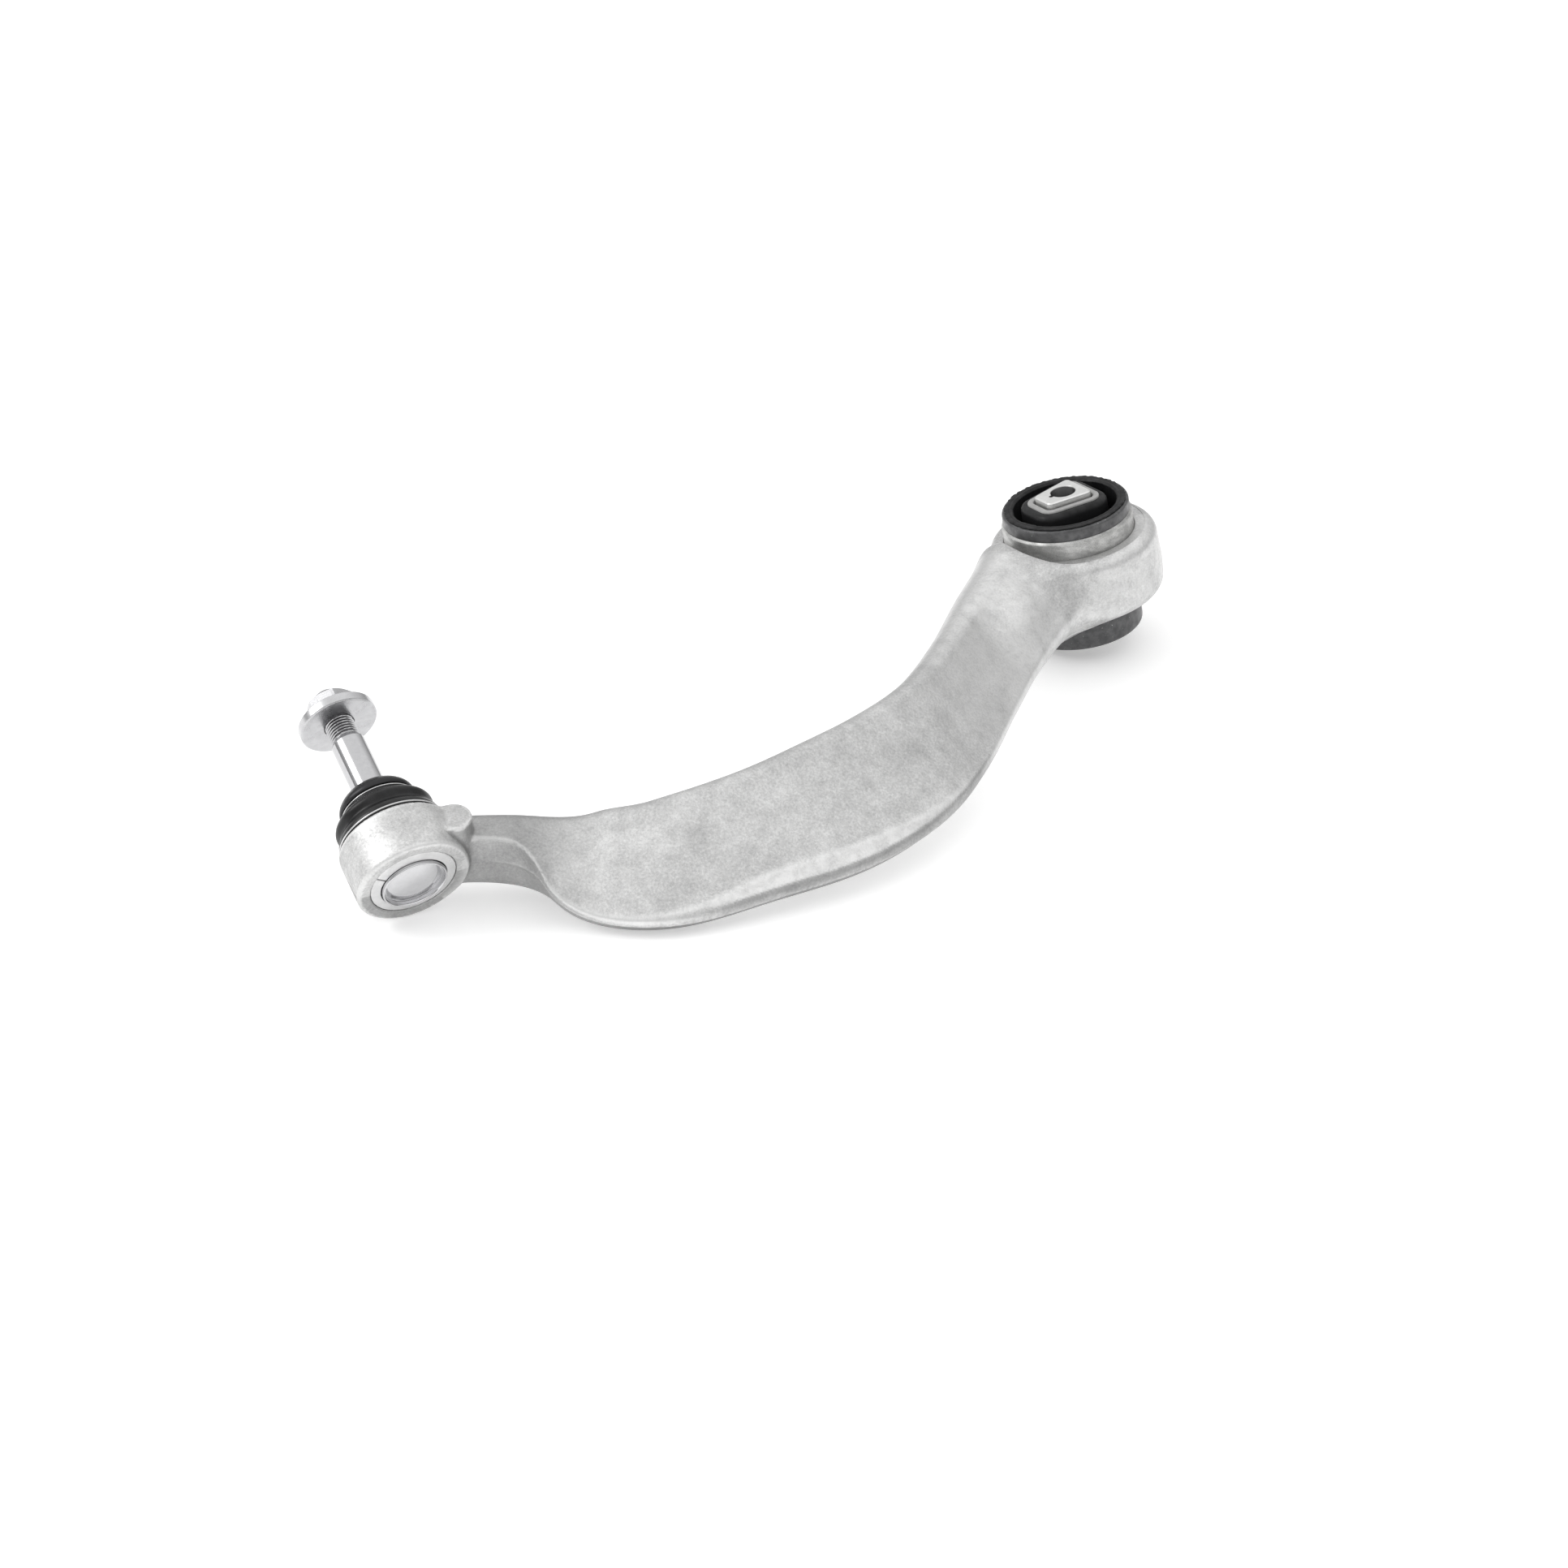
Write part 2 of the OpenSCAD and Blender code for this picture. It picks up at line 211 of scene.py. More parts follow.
def vertex_places(piece):
    """The piece's vertices in frame millimetres."""
    places = np.zeros(len(piece.data.vertices) * 3, np.float32)
    piece.data.vertices.foreach_get("co", places)
    return places.reshape(-1, 3).astype(float) / MM


def store(piece, name, values):
    """Keeps one number at each vertex."""
    made = piece.data.attributes.new(name, "FLOAT", "POINT")
    made.data.foreach_set("value", values.astype(np.float32))


def cut(piece, cutter, sharp):
    """Takes the cutter's solid out of the piece for good; edges sharper than sharp degrees stay crisp."""
    tool = piece.modifiers.new("cut", "BOOLEAN")
    tool.operation = "DIFFERENCE"
    tool.solver = "MANIFOLD"
    tool.object = cutter
    bpy.context.view_layer.update()
    made = bpy.data.meshes.new_from_object(piece.evaluated_get(bpy.context.evaluated_depsgraph_get()))
    piece.modifiers.remove(tool)
    piece.data = made
    bpy.data.objects.remove(cutter)
    made.shade_smooth()
    made.set_sharp_from_angle(angle=math.radians(sharp))


# ---------------------------------------------------------------- materials


class Paint:
    """A node material on Object coordinates, in millimetres."""

    def __init__(self, name, **sockets):
        self.mat = bpy.data.materials.new(name)
        self.mat.use_nodes = True
        self.tree = self.mat.node_tree
        self.bsdf = self.tree.nodes["Principled BSDF"]
        for key, value in sockets.items():
            self.bsdf.inputs[key.replace("_", " ")].default_value = value
        coordinates = self.tree.nodes.new("ShaderNodeTexCoord")
        self.at = self.node("ShaderNodeMapping", {"Vector": coordinates.outputs["Object"]})
        self.at.inputs["Scale"].default_value = (1000, 1000, 1000)
        self.height = None

    def node(self, kind, links=None, **settings):
        """A new node; links joins its inputs, and settings are its own properties or input values."""
        made = self.tree.nodes.new(kind)
        for key, value in settings.items():
            if hasattr(made, key):
                setattr(made, key, value)
            else:
                made.inputs[key.replace("_", " ")].default_value = value
        for key, source in (links or {}).items():
            self.tree.links.new(source, made.inputs[key])
        return made

    def noise(self, size, detail=3.0, roughness=0.55, stretch=None, twist=0.0):
        """Noise whose lumps are about size millimetres across; stretch scales the coordinates first."""
        source = self.at.outputs[0]
        if stretch is not None:
            source = self.node("ShaderNodeMapping", {"Vector": source}, Scale=stretch).outputs[0]
        made = self.node("ShaderNodeTexNoise", {"Vector": source}, Scale=1.0 / size, Detail=detail,
                         Roughness=roughness, Distortion=twist)
        return made.outputs["Fac"]

    def specks(self, size):
        """Distance to scattered points about size millimetres apart."""
        made = self.node("ShaderNodeTexVoronoi", {"Vector": self.at.outputs[0]}, Scale=1.0 / size)
        return made.outputs["Distance"]

    def attribute(self, name):
        """A number stored at each vertex."""
        made = self.node("ShaderNodeAttribute")
        made.attribute_name = name
        return made.outputs["Fac"]

    def remap(self, source, low, high, to_low=0.0, to_high=1.0):
        """source stretched from low..high to to_low..to_high, and held there."""
        made = self.node("ShaderNodeMapRange", {"Value": source})
        for key, value in zip(("From Min", "From Max", "To Min", "To Max"), (low, high, to_low, to_high)):
            made.inputs[key].default_value = value
        return made.outputs[0]

    def sum(self, a, share_a, b, share_b):
        """share_a of a and share_b of b, added up."""
        return self.math("ADD", self.math("MULTIPLY", a, share_a), self.math("MULTIPLY", b, share_b))

    def math(self, operation, a, b):
        """One of Blender's maths operations on two sources or numbers."""
        made = self.node("ShaderNodeMath")
        made.operation = operation
        for socket, value in zip(made.inputs, (a, b)):
            if isinstance(value, (int, float)):
                socket.default_value = value
            else:
                self.tree.links.new(value, socket)
        return made.outputs[0]

    def colours(self, source, *stops):
        """source read off a scale of (place, (r, g, b)) stops."""
        made = self.node("ShaderNodeValToRGB", {"Fac": source})
        scale = made.color_ramp.elements
        while len(scale) < len(stops):
            scale.new(0.5)
        for element, (place, colour) in zip(scale, stops):
            element.position = place
            element.color = (*colour, 1)
        return made.outputs["Color"]

    def mix(self, share, a, b):
        """Colour a where share is 0 and b where it is 1."""
        made = self.node("ShaderNodeMix")
        made.data_type = "RGBA"
        for socket, value in zip((made.inputs[0], made.inputs[6], made.inputs[7]), (share, a, b)):
            if isinstance(value, (int, float)):
                socket.default_value = value
            elif isinstance(value, tuple):
                socket.default_value = (*value, 1)
            else:
                self.tree.links.new(value, socket)
        return made.outputs[2]

    def set(self, socket, source):
        """Joins a source to one of the shader's sockets."""
        self.tree.links.new(source, self.bsdf.inputs[socket])

    def bump(self, source, distance):
        """Raises the surface by up to distance millimetres where source is 1."""
        links = {"Height": source}
        if self.height is not None:
            links["Normal"] = self.height
        made = self.node("ShaderNodeBump", links, Strength=1.0, Distance=distance * MM)
        self.height = made.outputs[0]
        self.set("Normal", self.height)


def wear(piece, material):
    """Gives the piece its only material."""
    piece.data.materials.clear()
    piece.data.materials.append(material.mat)


# Greys laid over the forging's own tone: painted shade, a painted highlight grey that the bright parting line also
# uses, and the rubbed band's grey, which carries painted highlight too.
PAINTED_SHADE_GREY = (0.21, 0.21, 0.21)
HIGHLIGHT_AND_FLASH_GREY = (0.80, 0.80, 0.795)
RUBBED_AND_HIGHLIGHT_GREY = (0.82, 0.82, 0.815)


def forged_aluminium():
    """Shot-blasted forging: fine grain, cloudy patches, painted shade in hollows and on shaded walls, a painted
    highlight along crests that also stands for edge wear, a streaky rubbed band that carries painted
    highlight too, and a thin bright parting line."""
    p = Paint("shot_blasted_aluminium", Metallic=1.0)
    grain = p.noise(1.2, 3, 0.8)
    tone = p.sum(p.noise(30, 4, 0.6, twist=0.8), 0.5, p.noise(9, 5, 0.7), 0.5)
    tone = p.math("ADD", tone, p.remap(grain, 0.25, 0.75, -0.20, 0.20))
    base = p.colours(tone, (0.28, (0.44, 0.44, 0.44)), (0.50, (0.57, 0.57, 0.567)),
                     (0.72, (0.72, 0.72, 0.716)))
    # painted shade: darkens hollows, the neck's walls, the bevel and the wall under the parting line
    base = p.mix(p.remap(p.attribute("painted_shade"), 0.1, 1.0, 0.0, 0.55), base, PAINTED_SHADE_GREY)
    # painted highlight along crests, which also stands for edge wear
    base = p.mix(p.remap(p.attribute("crest_highlight_and_wear"), 0.15, 1.0, 0.0, 0.62), base, HIGHLIGHT_AND_FLASH_GREY)
    # the rubbed band: worn metal that also carries a painted highlight, plus a painted highlight on the bulge by
    # the eye
    streaks = p.remap(p.noise(7, 5, 0.75, twist=0.5), 0.36, 0.60, 0.35, 1.0)
    rubbed_and_highlight = p.math("MULTIPLY", p.attribute("rubbed_and_highlight"), streaks)
    base = p.mix(p.math("MULTIPLY", rubbed_and_highlight, 0.85), base, RUBBED_AND_HIGHLIGHT_GREY)
    seam = p.attribute("seam")
    p.set("Base Color", p.mix(p.math("MULTIPLY", seam, 0.5), base, HIGHLIGHT_AND_FLASH_GREY))
    rough = p.remap(tone, 0.3, 0.75, 0.58, 0.44)
    p.set("Roughness", p.math("SUBTRACT", rough, p.math("MULTIPLY", rubbed_and_highlight, 0.12)))
    p.bump(p.noise(7, 3, 0.5), 0.09)
    p.bump(grain, 0.045)
    p.bump(seam, 0.25)
    return p


def turned_metal(name, colour, roughness, line=0.25, depth=0.004, speck=0.0, shade_in_bore=False):
    """Turned or pressed metal: grain line across and depth high, soft blotches, specks, and painted shade
    in a bore."""
    p = Paint(name, Metallic=1.0)
    grain = p.noise(line, 2, 0.6)
    blotch = p.noise(6, 3, 0.6)
    low = tuple(c * 0.86 for c in colour)
    base = p.colours(p.sum(grain, 0.3, blotch, 0.7), (0.35, low), (0.6, colour))
    if shade_in_bore:
        # painted shade inside the bore
        base = p.mix(p.attribute("groove"), base, (0.16, 0.16, 0.16))
    p.set("Base Color", base)
    p.set("Roughness", p.remap(blotch, 0.3, 0.7, roughness * 1.25, roughness * 0.85))
    p.bump(grain, depth)
    if speck:
        p.bump(p.remap(p.specks(speck), 0.0, 0.3, 0.0, 1.0), depth * 2)
    return p


def moulded_rubber(name, roughness=0.45):
    """Black moulded rubber with a soft bloom and small lumps."""
    p = Paint(name, Specular_IOR_Level=0.32)
    bloom = p.noise(5, 4, 0.6)
    p.set("Base Color", p.colours(bloom, (0.35, (0.004, 0.004, 0.0045)), (0.7, (0.013, 0.013, 0.014))))
    p.set("Roughness", p.remap(bloom, 0.3, 0.7, roughness * 1.2, roughness * 0.8))
    p.bump(p.noise(0.5, 2, 0.6), 0.02)
    p.bump(p.noise(3.5, 2, 0.5), 0.05)
    return p


def coated_steel():
    """Dark thin coating on a pressed collar, with small bright nicks."""
    p = Paint("dark_coating", Metallic=0.35)
    blotch = p.noise(4, 3, 0.6)
    base = p.colours(blotch, (0.35, (0.06, 0.06, 0.062)), (0.7, (0.11, 0.11, 0.112)))
    nick = p.remap(p.noise(1.6, 4, 0.75), 0.66, 0.70)
    base = p.mix(p.math("MULTIPLY", nick, 0.8), base, (0.75, 0.75, 0.74))
    p.set("Base Color", base)
    p.set("Roughness", p.remap(blotch, 0.3, 0.7, 0.42, 0.30))
    p.bump(p.noise(0.4, 2, 0.6), 0.012)
    return p


def grainy_sleeve():
    """Satin sleeve with a coarse sparkle and darker streaks."""
    p = Paint("sleeve_metal", Metallic=1.0)
    grain = p.noise(0.5, 3, 0.8)
    streak = p.noise(7, 3, 0.6, stretch=(1, 1, 2.5))
    tone = p.sum(grain, 0.45, streak, 0.55)
    p.set("Base Color", p.colours(tone, (0.38, (0.34, 0.34, 0.335)), (0.62, (0.60, 0.60, 0.59))))
    p.set("Roughness", p.remap(tone, 0.4, 0.6, 0.60, 0.46))
    p.bump(grain, 0.05)
    return p


def matte_grey(name, colour, roughness):
    """Plain moulded plastic with a faint texture."""
    p = Paint(name)
    cloud = p.noise(3, 3, 0.6)
    low = tuple(c * 0.85 for c in colour)
    p.set("Base Color", p.colours(cloud, (0.35, low), (0.65, colour)))
    p.bsdf.inputs["Roughness"].default_value = roughness
    p.bump(p.noise(0.35, 2, 0.6), 0.015)
    return p


def polished_steel(name, colour=(0.52, 0.52, 0.53), roughness=0.14, shade_in_grooves=False):
    """Ground and polished steel with fine haze, and painted shade in a thread's grooves."""
    p = Paint(name, Metallic=1.0)
    haze = p.noise(2.5, 4, 0.65)
    base = p.colours(haze, (0.3, tuple(c * 0.92 for c in colour)), (0.7, colour))
    if shade_in_grooves:
        # painted shade in the thread's grooves
        base = p.mix(p.attribute("groove"), base, (0.05, 0.05, 0.052))
    p.set("Base Color", base)
    p.set("Roughness", p.remap(haze, 0.3, 0.7, roughness * 1.35, roughness * 0.8))
    p.bump(p.noise(0.3, 2, 0.6), 0.0015)
    return p


# ---------------------------------------------------------------- the forged arm

# Sections from the housing to the eye: centre x, y, z, width of the broad face, thickness, tilt of
# the broad face in degrees, radius of the crest along the front edge, radius of the back edge, and height of
# the parting line above the section's middle.
STRAP = np.array([
    [-300, -265, -17, 22, 30, 10, 2.2, 7, 2.5],
    [-282, -263.5, -17.5, 22, 31, 11, 2.2, 7.5, 2.5],
    [-266, -262.5, -19.2, 25, 32, 14, 2.0, 8, 3.0],
    [-251, -265, -21.5, 35, 29, 27, 2.0, 8.5, 6.5],
    [-234, -271, -22, 53, 20, 40, 2.2, 8, 6.2],
    [-203, -273, -20, 61, 16, 42, 2.4, 7, 5.0],
    [-163, -255, -16.5, 63, 16, 40, 2.6, 7, 4.6],
    [-126, -231, -14, 68, 16, 37, 2.8, 7, 4.6],
    [-96, -199, -12.5, 65, 16.5, 38, 3.0, 7, 4.6],
    [-74, -160, -11, 57, 17, 42, 3.6, 7, 4.2],
    [-57, -113, -9.5, 53, 18, 43, 5, 8, 3.5],
    [-42, -67, -7.5, 54, 21, 40, 6, 9, 3],
    [-24, -25, -3, 58, 27, 26, 8, 11, 3],
], float)
STATION_STEP = 0.9
# The bell's half width and its reach to each side, in stations.
SOFTEN_OVER, SOFTEN_REACH = 8, 24


def strap_stations():
    """The sections joined by a Catmull-Rom curve and spaced evenly, then softened along the strap by a
    bell-shaped average, so that no section shows as a kink."""
    padded = np.concatenate([2 * STRAP[:1] - STRAP[1:2], STRAP, 2 * STRAP[-1:] - STRAP[-2:-1]])
    a, b, c, d = padded[:-3, None], padded[1:-2, None], padded[2:-1, None], padded[3:, None]
    t = np.linspace(0, 1, 40, endpoint=False)[None, :, None]
    curve = b + 0.5 * t * (c - a + t * (2 * a - 5 * b + 4 * c - d + t * (3 * (b - c) + d - a)))
    curve = curve.reshape(-1, STRAP.shape[1])
    run = np.concatenate([[0], np.cumsum(np.linalg.norm(np.diff(curve[:, :2], axis=0), axis=1))])
    even = np.arange(0, run[-1], STATION_STEP)
    rows = np.stack([np.interp(even, run, column) for column in curve.T], 1)
    bell = hump(np.arange(-SOFTEN_REACH, SOFTEN_REACH + 1), 0, SOFTEN_OVER)
    bell /= bell.sum()
    before = 2 * rows[:1] - rows[SOFTEN_REACH:0:-1]
    after = 2 * rows[-1:] - rows[-2:-SOFTEN_REACH - 2:-1]
    rows = np.concatenate([before, rows, after])
    return np.stack([np.convolve(column, bell, "valid") for column in rows.T], 1)


STATIONS = strap_stations()
AHEAD = np.gradient(STATIONS[:, :2], axis=0)
AHEAD /= np.linalg.norm(AHEAD, axis=1)[:, None]


def along_strap(xy):
    """For plan points: the nearest station as a number with a fraction, the distance to the left of the
    strap's line, and how far past either end the point lies."""
    nearest = np.zeros(len(xy), int)
    line = STATIONS[:, :2].astype(np.float32)
    for part in np.array_split(np.arange(len(xy)), max(1, len(xy) // 20000)):
        q = xy[part].astype(np.float32)
        square = (q**2).sum(1)[:, None] - 2 * q @ line.T + (line**2).sum(1)[None, :]
        nearest[part] = square.argmin(1)
    away = xy - STATIONS[nearest, :2]
    forward = (away * AHEAD[nearest]).sum(1)
    place = np.clip(nearest + forward / STATION_STEP, 0, len(STATIONS) - 1)
    low = np.minimum(place.astype(int), len(STATIONS) - 2)
    share = (place - low)[:, None]
    centre = STATIONS[low, :2] * (1 - share) + STATIONS[low + 1, :2] * share
    ahead = AHEAD[low] * (1 - share) + AHEAD[low + 1] * share
    away = xy - centre
    left = away[:, 1] * ahead[:, 0] - away[:, 0] * ahead[:, 1]
    past = np.abs((away * ahead).sum(1))
    return place, left, past


def lip_band(run):
    """Width of the rubbed band along the front edge: widest before the strap's main bend, none near the
    neck."""
    return 2.2 + 8.5 * ramp(run, 0.18, 0.36) * fade(run, 0.42, 0.66) - 2.2 * fade(run, 0.1, 0.2)


def section_at(points, plan=None):
    """The strap's section at each point. p runs along its broad face from the front edge to the back edge
    and q across its thickness, run is how far along the strap it lies, from 0 to 1, past how far off its
    ends, and the rest are the section's own measures."""
    place, left, past = along_strap(points[:, :2]) if plan is None else plan
    columns = [np.interp(place, np.arange(len(STATIONS)), STATIONS[:, k]) for k in range(2, STRAP.shape[1])]
    centre_z, width, thick, tilt, crest_r, back_r, part_q = columns
    s = SimpleNamespace(past=past, width=width, thick=thick, crest_r=crest_r, back_r=back_r, part_q=part_q)
    tilt = np.radians(tilt)
    up = points[:, 2] - centre_z
    s.p = left * np.cos(tilt) + up * np.sin(tilt)
    s.q = -left * np.sin(tilt) + up * np.cos(tilt)
    s.run = place / len(STATIONS)
    s.from_front = s.p + width / 2
    s.band = lip_band(s.run)
    s.middle = ramp(s.run, 0.20, 0.30) * fade(s.run, 0.60, 0.75)
    return s


def face_relief(s):
    """How far the broad face stands off flat: a low lip at the back of the rubbed band, which falls away
    towards the front edge and ends in a bevel, a shallow groove behind the lip, a dish along the middle,
    and a bulge that meets the eye."""
    banded = ramp(s.band, 0, 4)
    lip = 0.35 * banded * hump(s.from_front, s.band, 2.4)
    falling = 0.07 * np.maximum(s.band - s.from_front, 0)
    groove = 0.25 * banded * hump(s.from_front, s.band + 6, 4)
    bevel = 0.16 * s.middle * np.maximum(4.2 - s.from_front, 0)
    dish = 0.6 * ramp(s.run, 0.18, 0.3) * fade(s.run, 0.75, 0.9) * hump(s.p, 4, s.width * 0.26)
    bulge = 7 * ramp(s.run, 0.83, 0.93) * hump(s.p, 1, 19)
    return lip - falling - groove - bevel - dish + bulge


def rounded(a, b, r):
    """Signed distance to a corner of radius r, from the distances a and b past the corner's own centre."""
    return np.minimum(np.maximum(a, b), 0) + np.hypot(np.maximum(a, 0), np.maximum(b, 0)) - r


def strap_distance(s):
    """Signed distance to the strap: a box in the section's axes with a radius of its own at each corner
    and the face's relief on top. Its front wall leans back both ways from the raised parting line."""
    half_t = s.thick / 2
    front = s.p < 0
    flash = 0.42 * hump(s.q - s.part_q, 0, 1.05) * ramp(s.run, 0.02, 0.10)
    lean = 0.075 * np.abs(s.q - s.part_q)
    half_w = s.width / 2 + np.where(front, flash - lean, -0.05 * np.abs(s.q))
    above = np.where(front, s.crest_r, s.back_r)
    below = np.where(front, s.back_r, 0.8 * s.back_r)
    r = np.minimum(np.where(s.q > 0, above, below), half_t - 0.3)
    q_top = s.q - face_relief(s) * ramp(s.q, 0, half_t)
    d = rounded(np.abs(s.p) - half_w + r, np.abs(q_top) - half_t + r, r)
    return np.maximum(d, s.past - 0.5)


def strap_marks(s):
    """Marks on the strap. seam is 1 along the parting line. The rubbed mark is above 0 on the worn band,
    which also carries a painted highlight, and below 0 for painted shade on the bevel and on the wall under
    the parting line. The crest mark is 1 along the front edge, for a painted highlight there that also
    stands for edge wear."""
    from_face = s.thick / 2 - s.q
    seam = hump(s.q - s.part_q, 0, 0.55) * fade(s.from_front, 1.0, 3.5)
    seam = seam * ramp(s.run, 0.03, 0.12) * (1 - 0.75 * ramp(s.run, 0.55, 0.75))
    # the worn band along the front edge, which also carries a painted highlight
    rubbed_and_highlight = fade(from_face, 1, 3) * ramp(s.band, 0.5, 4) * fade(s.from_front, s.band - 0.5, s.band + 3.0)
    bevel = s.middle * fade(s.from_front, 3.4, 4.4)
    # the bevel loses the band and gets painted shade on its upper side
    rubbed_and_highlight = rubbed_and_highlight * (1 - bevel) - 0.75 * bevel * (s.q > 0)
    # painted shade on the wall under the parting line
    rubbed_and_highlight = rubbed_and_highlight - 0.9 * fade(s.from_front, 1.0, 2.2) * fade(s.q, s.part_q - 0.8, s.part_q)
    # painted highlight along the front edge's crest, also standing for edge wear
    crest_highlight_and_wear = fade(from_face, 0.4 * s.crest_r, s.crest_r)
    crest_highlight_and_wear = crest_highlight_and_wear * fade(s.from_front, 0.5 * s.crest_r, 1.5 * s.crest_r)
    crest_highlight_and_wear = crest_highlight_and_wear * (1 - 0.5 * ramp(s.run, 0.7, 0.9)) * (1 - 0.9 * s.middle)
    return seam, rubbed_and_highlight, crest_highlight_and_wear


def round_block(rho, z, radius, low, high, edge):
    """Signed distance to a disc from low to high with rounded edges."""
    middle, half = (low + high) / 2, (high - low) / 2
    return rounded(rho - radius + edge, np.abs(z - middle) - half + edge, edge)


def blend_in(a, b, k):
    """The nearer of two distances, with a fillet about k wide where they meet."""
    h = np.maximum(k - np.abs(a - b), 0) / k
    return np.minimum(a, b) - h**3 * k / 6


# The eye's forged outside: its shift from the bore, radius, ends, and lean both ways from its parting line.
EYE_SHIFT, EYE_R, EYE_LOW, EYE_HIGH = 1.6, 43.7, -17.5, 18.5
EYE_LEAN, EYE_PARTING = 0.05, -3
# The faces and the bore machined into it.
EYE_BOTTOM, EYE_TOP, EYE_BORE = -17.0, 18.0, 33.5
HOUSING_R, HOUSING_LOW, HOUSING_HIGH = 26.5, -16.0, 9.0
BOSS_R, BOSS_DEPTH, BOSS_TILT = 8.6, 18.0, math.radians(14)
BOSS_AT = np.array([-296.3, -275.3, 6.2])
BOSS = Place(BOSS_AT * MM, (0, -math.sin(BOSS_TILT), math.cos(BOSS_TILT)), (1, 0, 0))
# Widths of the fillets where they join the strap.
EYE_FILLET, HOUSING_FILLET, BOSS_FILLET = 25, 9, 3.5


def arm_distance(points, plan=None):
    """Signed distance to the whole forging: strap, eye, housing and boss joined with fillets."""
    strap = strap_distance(section_at(points, plan))
    x, y, z = BUSH.own(points).T
    rho = np.hypot(x - EYE_SHIFT, y) + EYE_LEAN * np.abs(z - EYE_PARTING)
    eye = round_block(rho, z, EYE_R, EYE_LOW, EYE_HIGH, 6.5)
    x, y, z = BALL.own(points).T
    housing = round_block(np.hypot(x, y), z, HOUSING_R, HOUSING_LOW, HOUSING_HIGH, 1.6)
    x, y, z = BOSS.own(points).T
    boss = round_block(np.hypot(x, y), z, BOSS_R, -BOSS_DEPTH, 0, 1.0)
    d = blend_in(strap, eye, EYE_FILLET)
    d = blend_in(d, housing, HOUSING_FILLET)
    return blend_in(d, boss, BOSS_FILLET)


def slope(points, reach=0.05):
    """The forging distance's slope at each point, over its squared length."""
    steps = reach * np.eye(3)
    g = np.stack([arm_distance(points + a) - arm_distance(points - a) for a in steps], 1) / (2 * reach)
    return g / np.maximum((g**2).sum(1), 0.25)[:, None]


def bend(points, reach=1.6):
    """How sharply the forging curves: above 0 on crests and below 0 in hollows, per millimetre."""
    steps = reach * np.eye(3)
    total = sum(arm_distance(points + a) + arm_distance(points - a) for a in steps)
    return (total - 6 * arm_distance(points)) / reach**2


GRID_STEP = 1.2
GRID_SPARE = 6


def forging_surface():
    """Points and quads of the surface where arm_distance is 0: worked out on a grid, turned into
    polygons, and each point then moved on to the surface along the distance's own slope."""
    low, high = (np.array(c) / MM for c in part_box("arm_forging"))
    low, high = low - GRID_SPARE, high + GRID_SPARE
    x, y, z = (np.arange(a, b, GRID_STEP) for a, b in zip(low, high))
    plan_x, plan_y = (g.ravel() for g in np.meshgrid(x, y, indexing="ij"))
    plan = along_strap(np.stack([plan_x, plan_y], 1))
    values = np.empty((len(plan_x), len(z)), np.float32)
    for k, height in enumerate(z):
        points = np.stack([plan_x, plan_y, np.full(len(plan_x), height)], 1)
        values[:, k] = arm_distance(points, plan)
    reach = 4 * GRID_STEP
    grid = openvdb.FloatGrid(reach)
    grid.copyFromArray(np.clip(values, -reach, reach).reshape(len(x), len(y), len(z)))
    points, quads = grid.convertToQuads(0.0)
    points = np.asarray(points, float) * GRID_STEP + low
    for _ in range(3):
        points -= slope(points) * arm_distance(points)[:, None]
    return points, np.asarray(quads, int)


def machine_eye(piece):
    """Cuts the eye's bore, with a small chamfer at each end, and its flat end faces."""
    spot_r, chamfer, clear = 39.2, 0.6, 60
    tool = [[spot_r, -clear], [spot_r, EYE_BOTTOM], [EYE_BORE + chamfer, EYE_BOTTOM],
            [EYE_BORE, EYE_BOTTOM + chamfer], [EYE_BORE, EYE_TOP - chamfer],
            [EYE_BORE + chamfer, EYE_TOP], [spot_r, EYE_TOP], [spot_r, clear]]
    cut(piece, turned("eye_tool", tool, BUSH, n=192, loop=False), 38)


def machine_socket(piece):
    """Cuts the housing's closed end, the ring's counterbore, the race's bore, and the seat under the
    boot."""
    ring_r, race_r, mouth_r, seat_r = 20.5, 17.4, 16.5, 25.5
    seat = HOUSING_HIGH + 0.05
    tool = [[27.6, -45], [27.6, -17], [26.2, HOUSING_LOW], [21.1, HOUSING_LOW], [ring_r, -15.5],
            [ring_r, -13.4], [race_r, -13.4], [race_r, 6.3], [mouth_r, 6.3], [mouth_r, seat],
            [seat_r, seat], [seat_r, 20]]
    cut(piece, turned("socket_tool", tool, BALL, n=160, loop=False), 38)


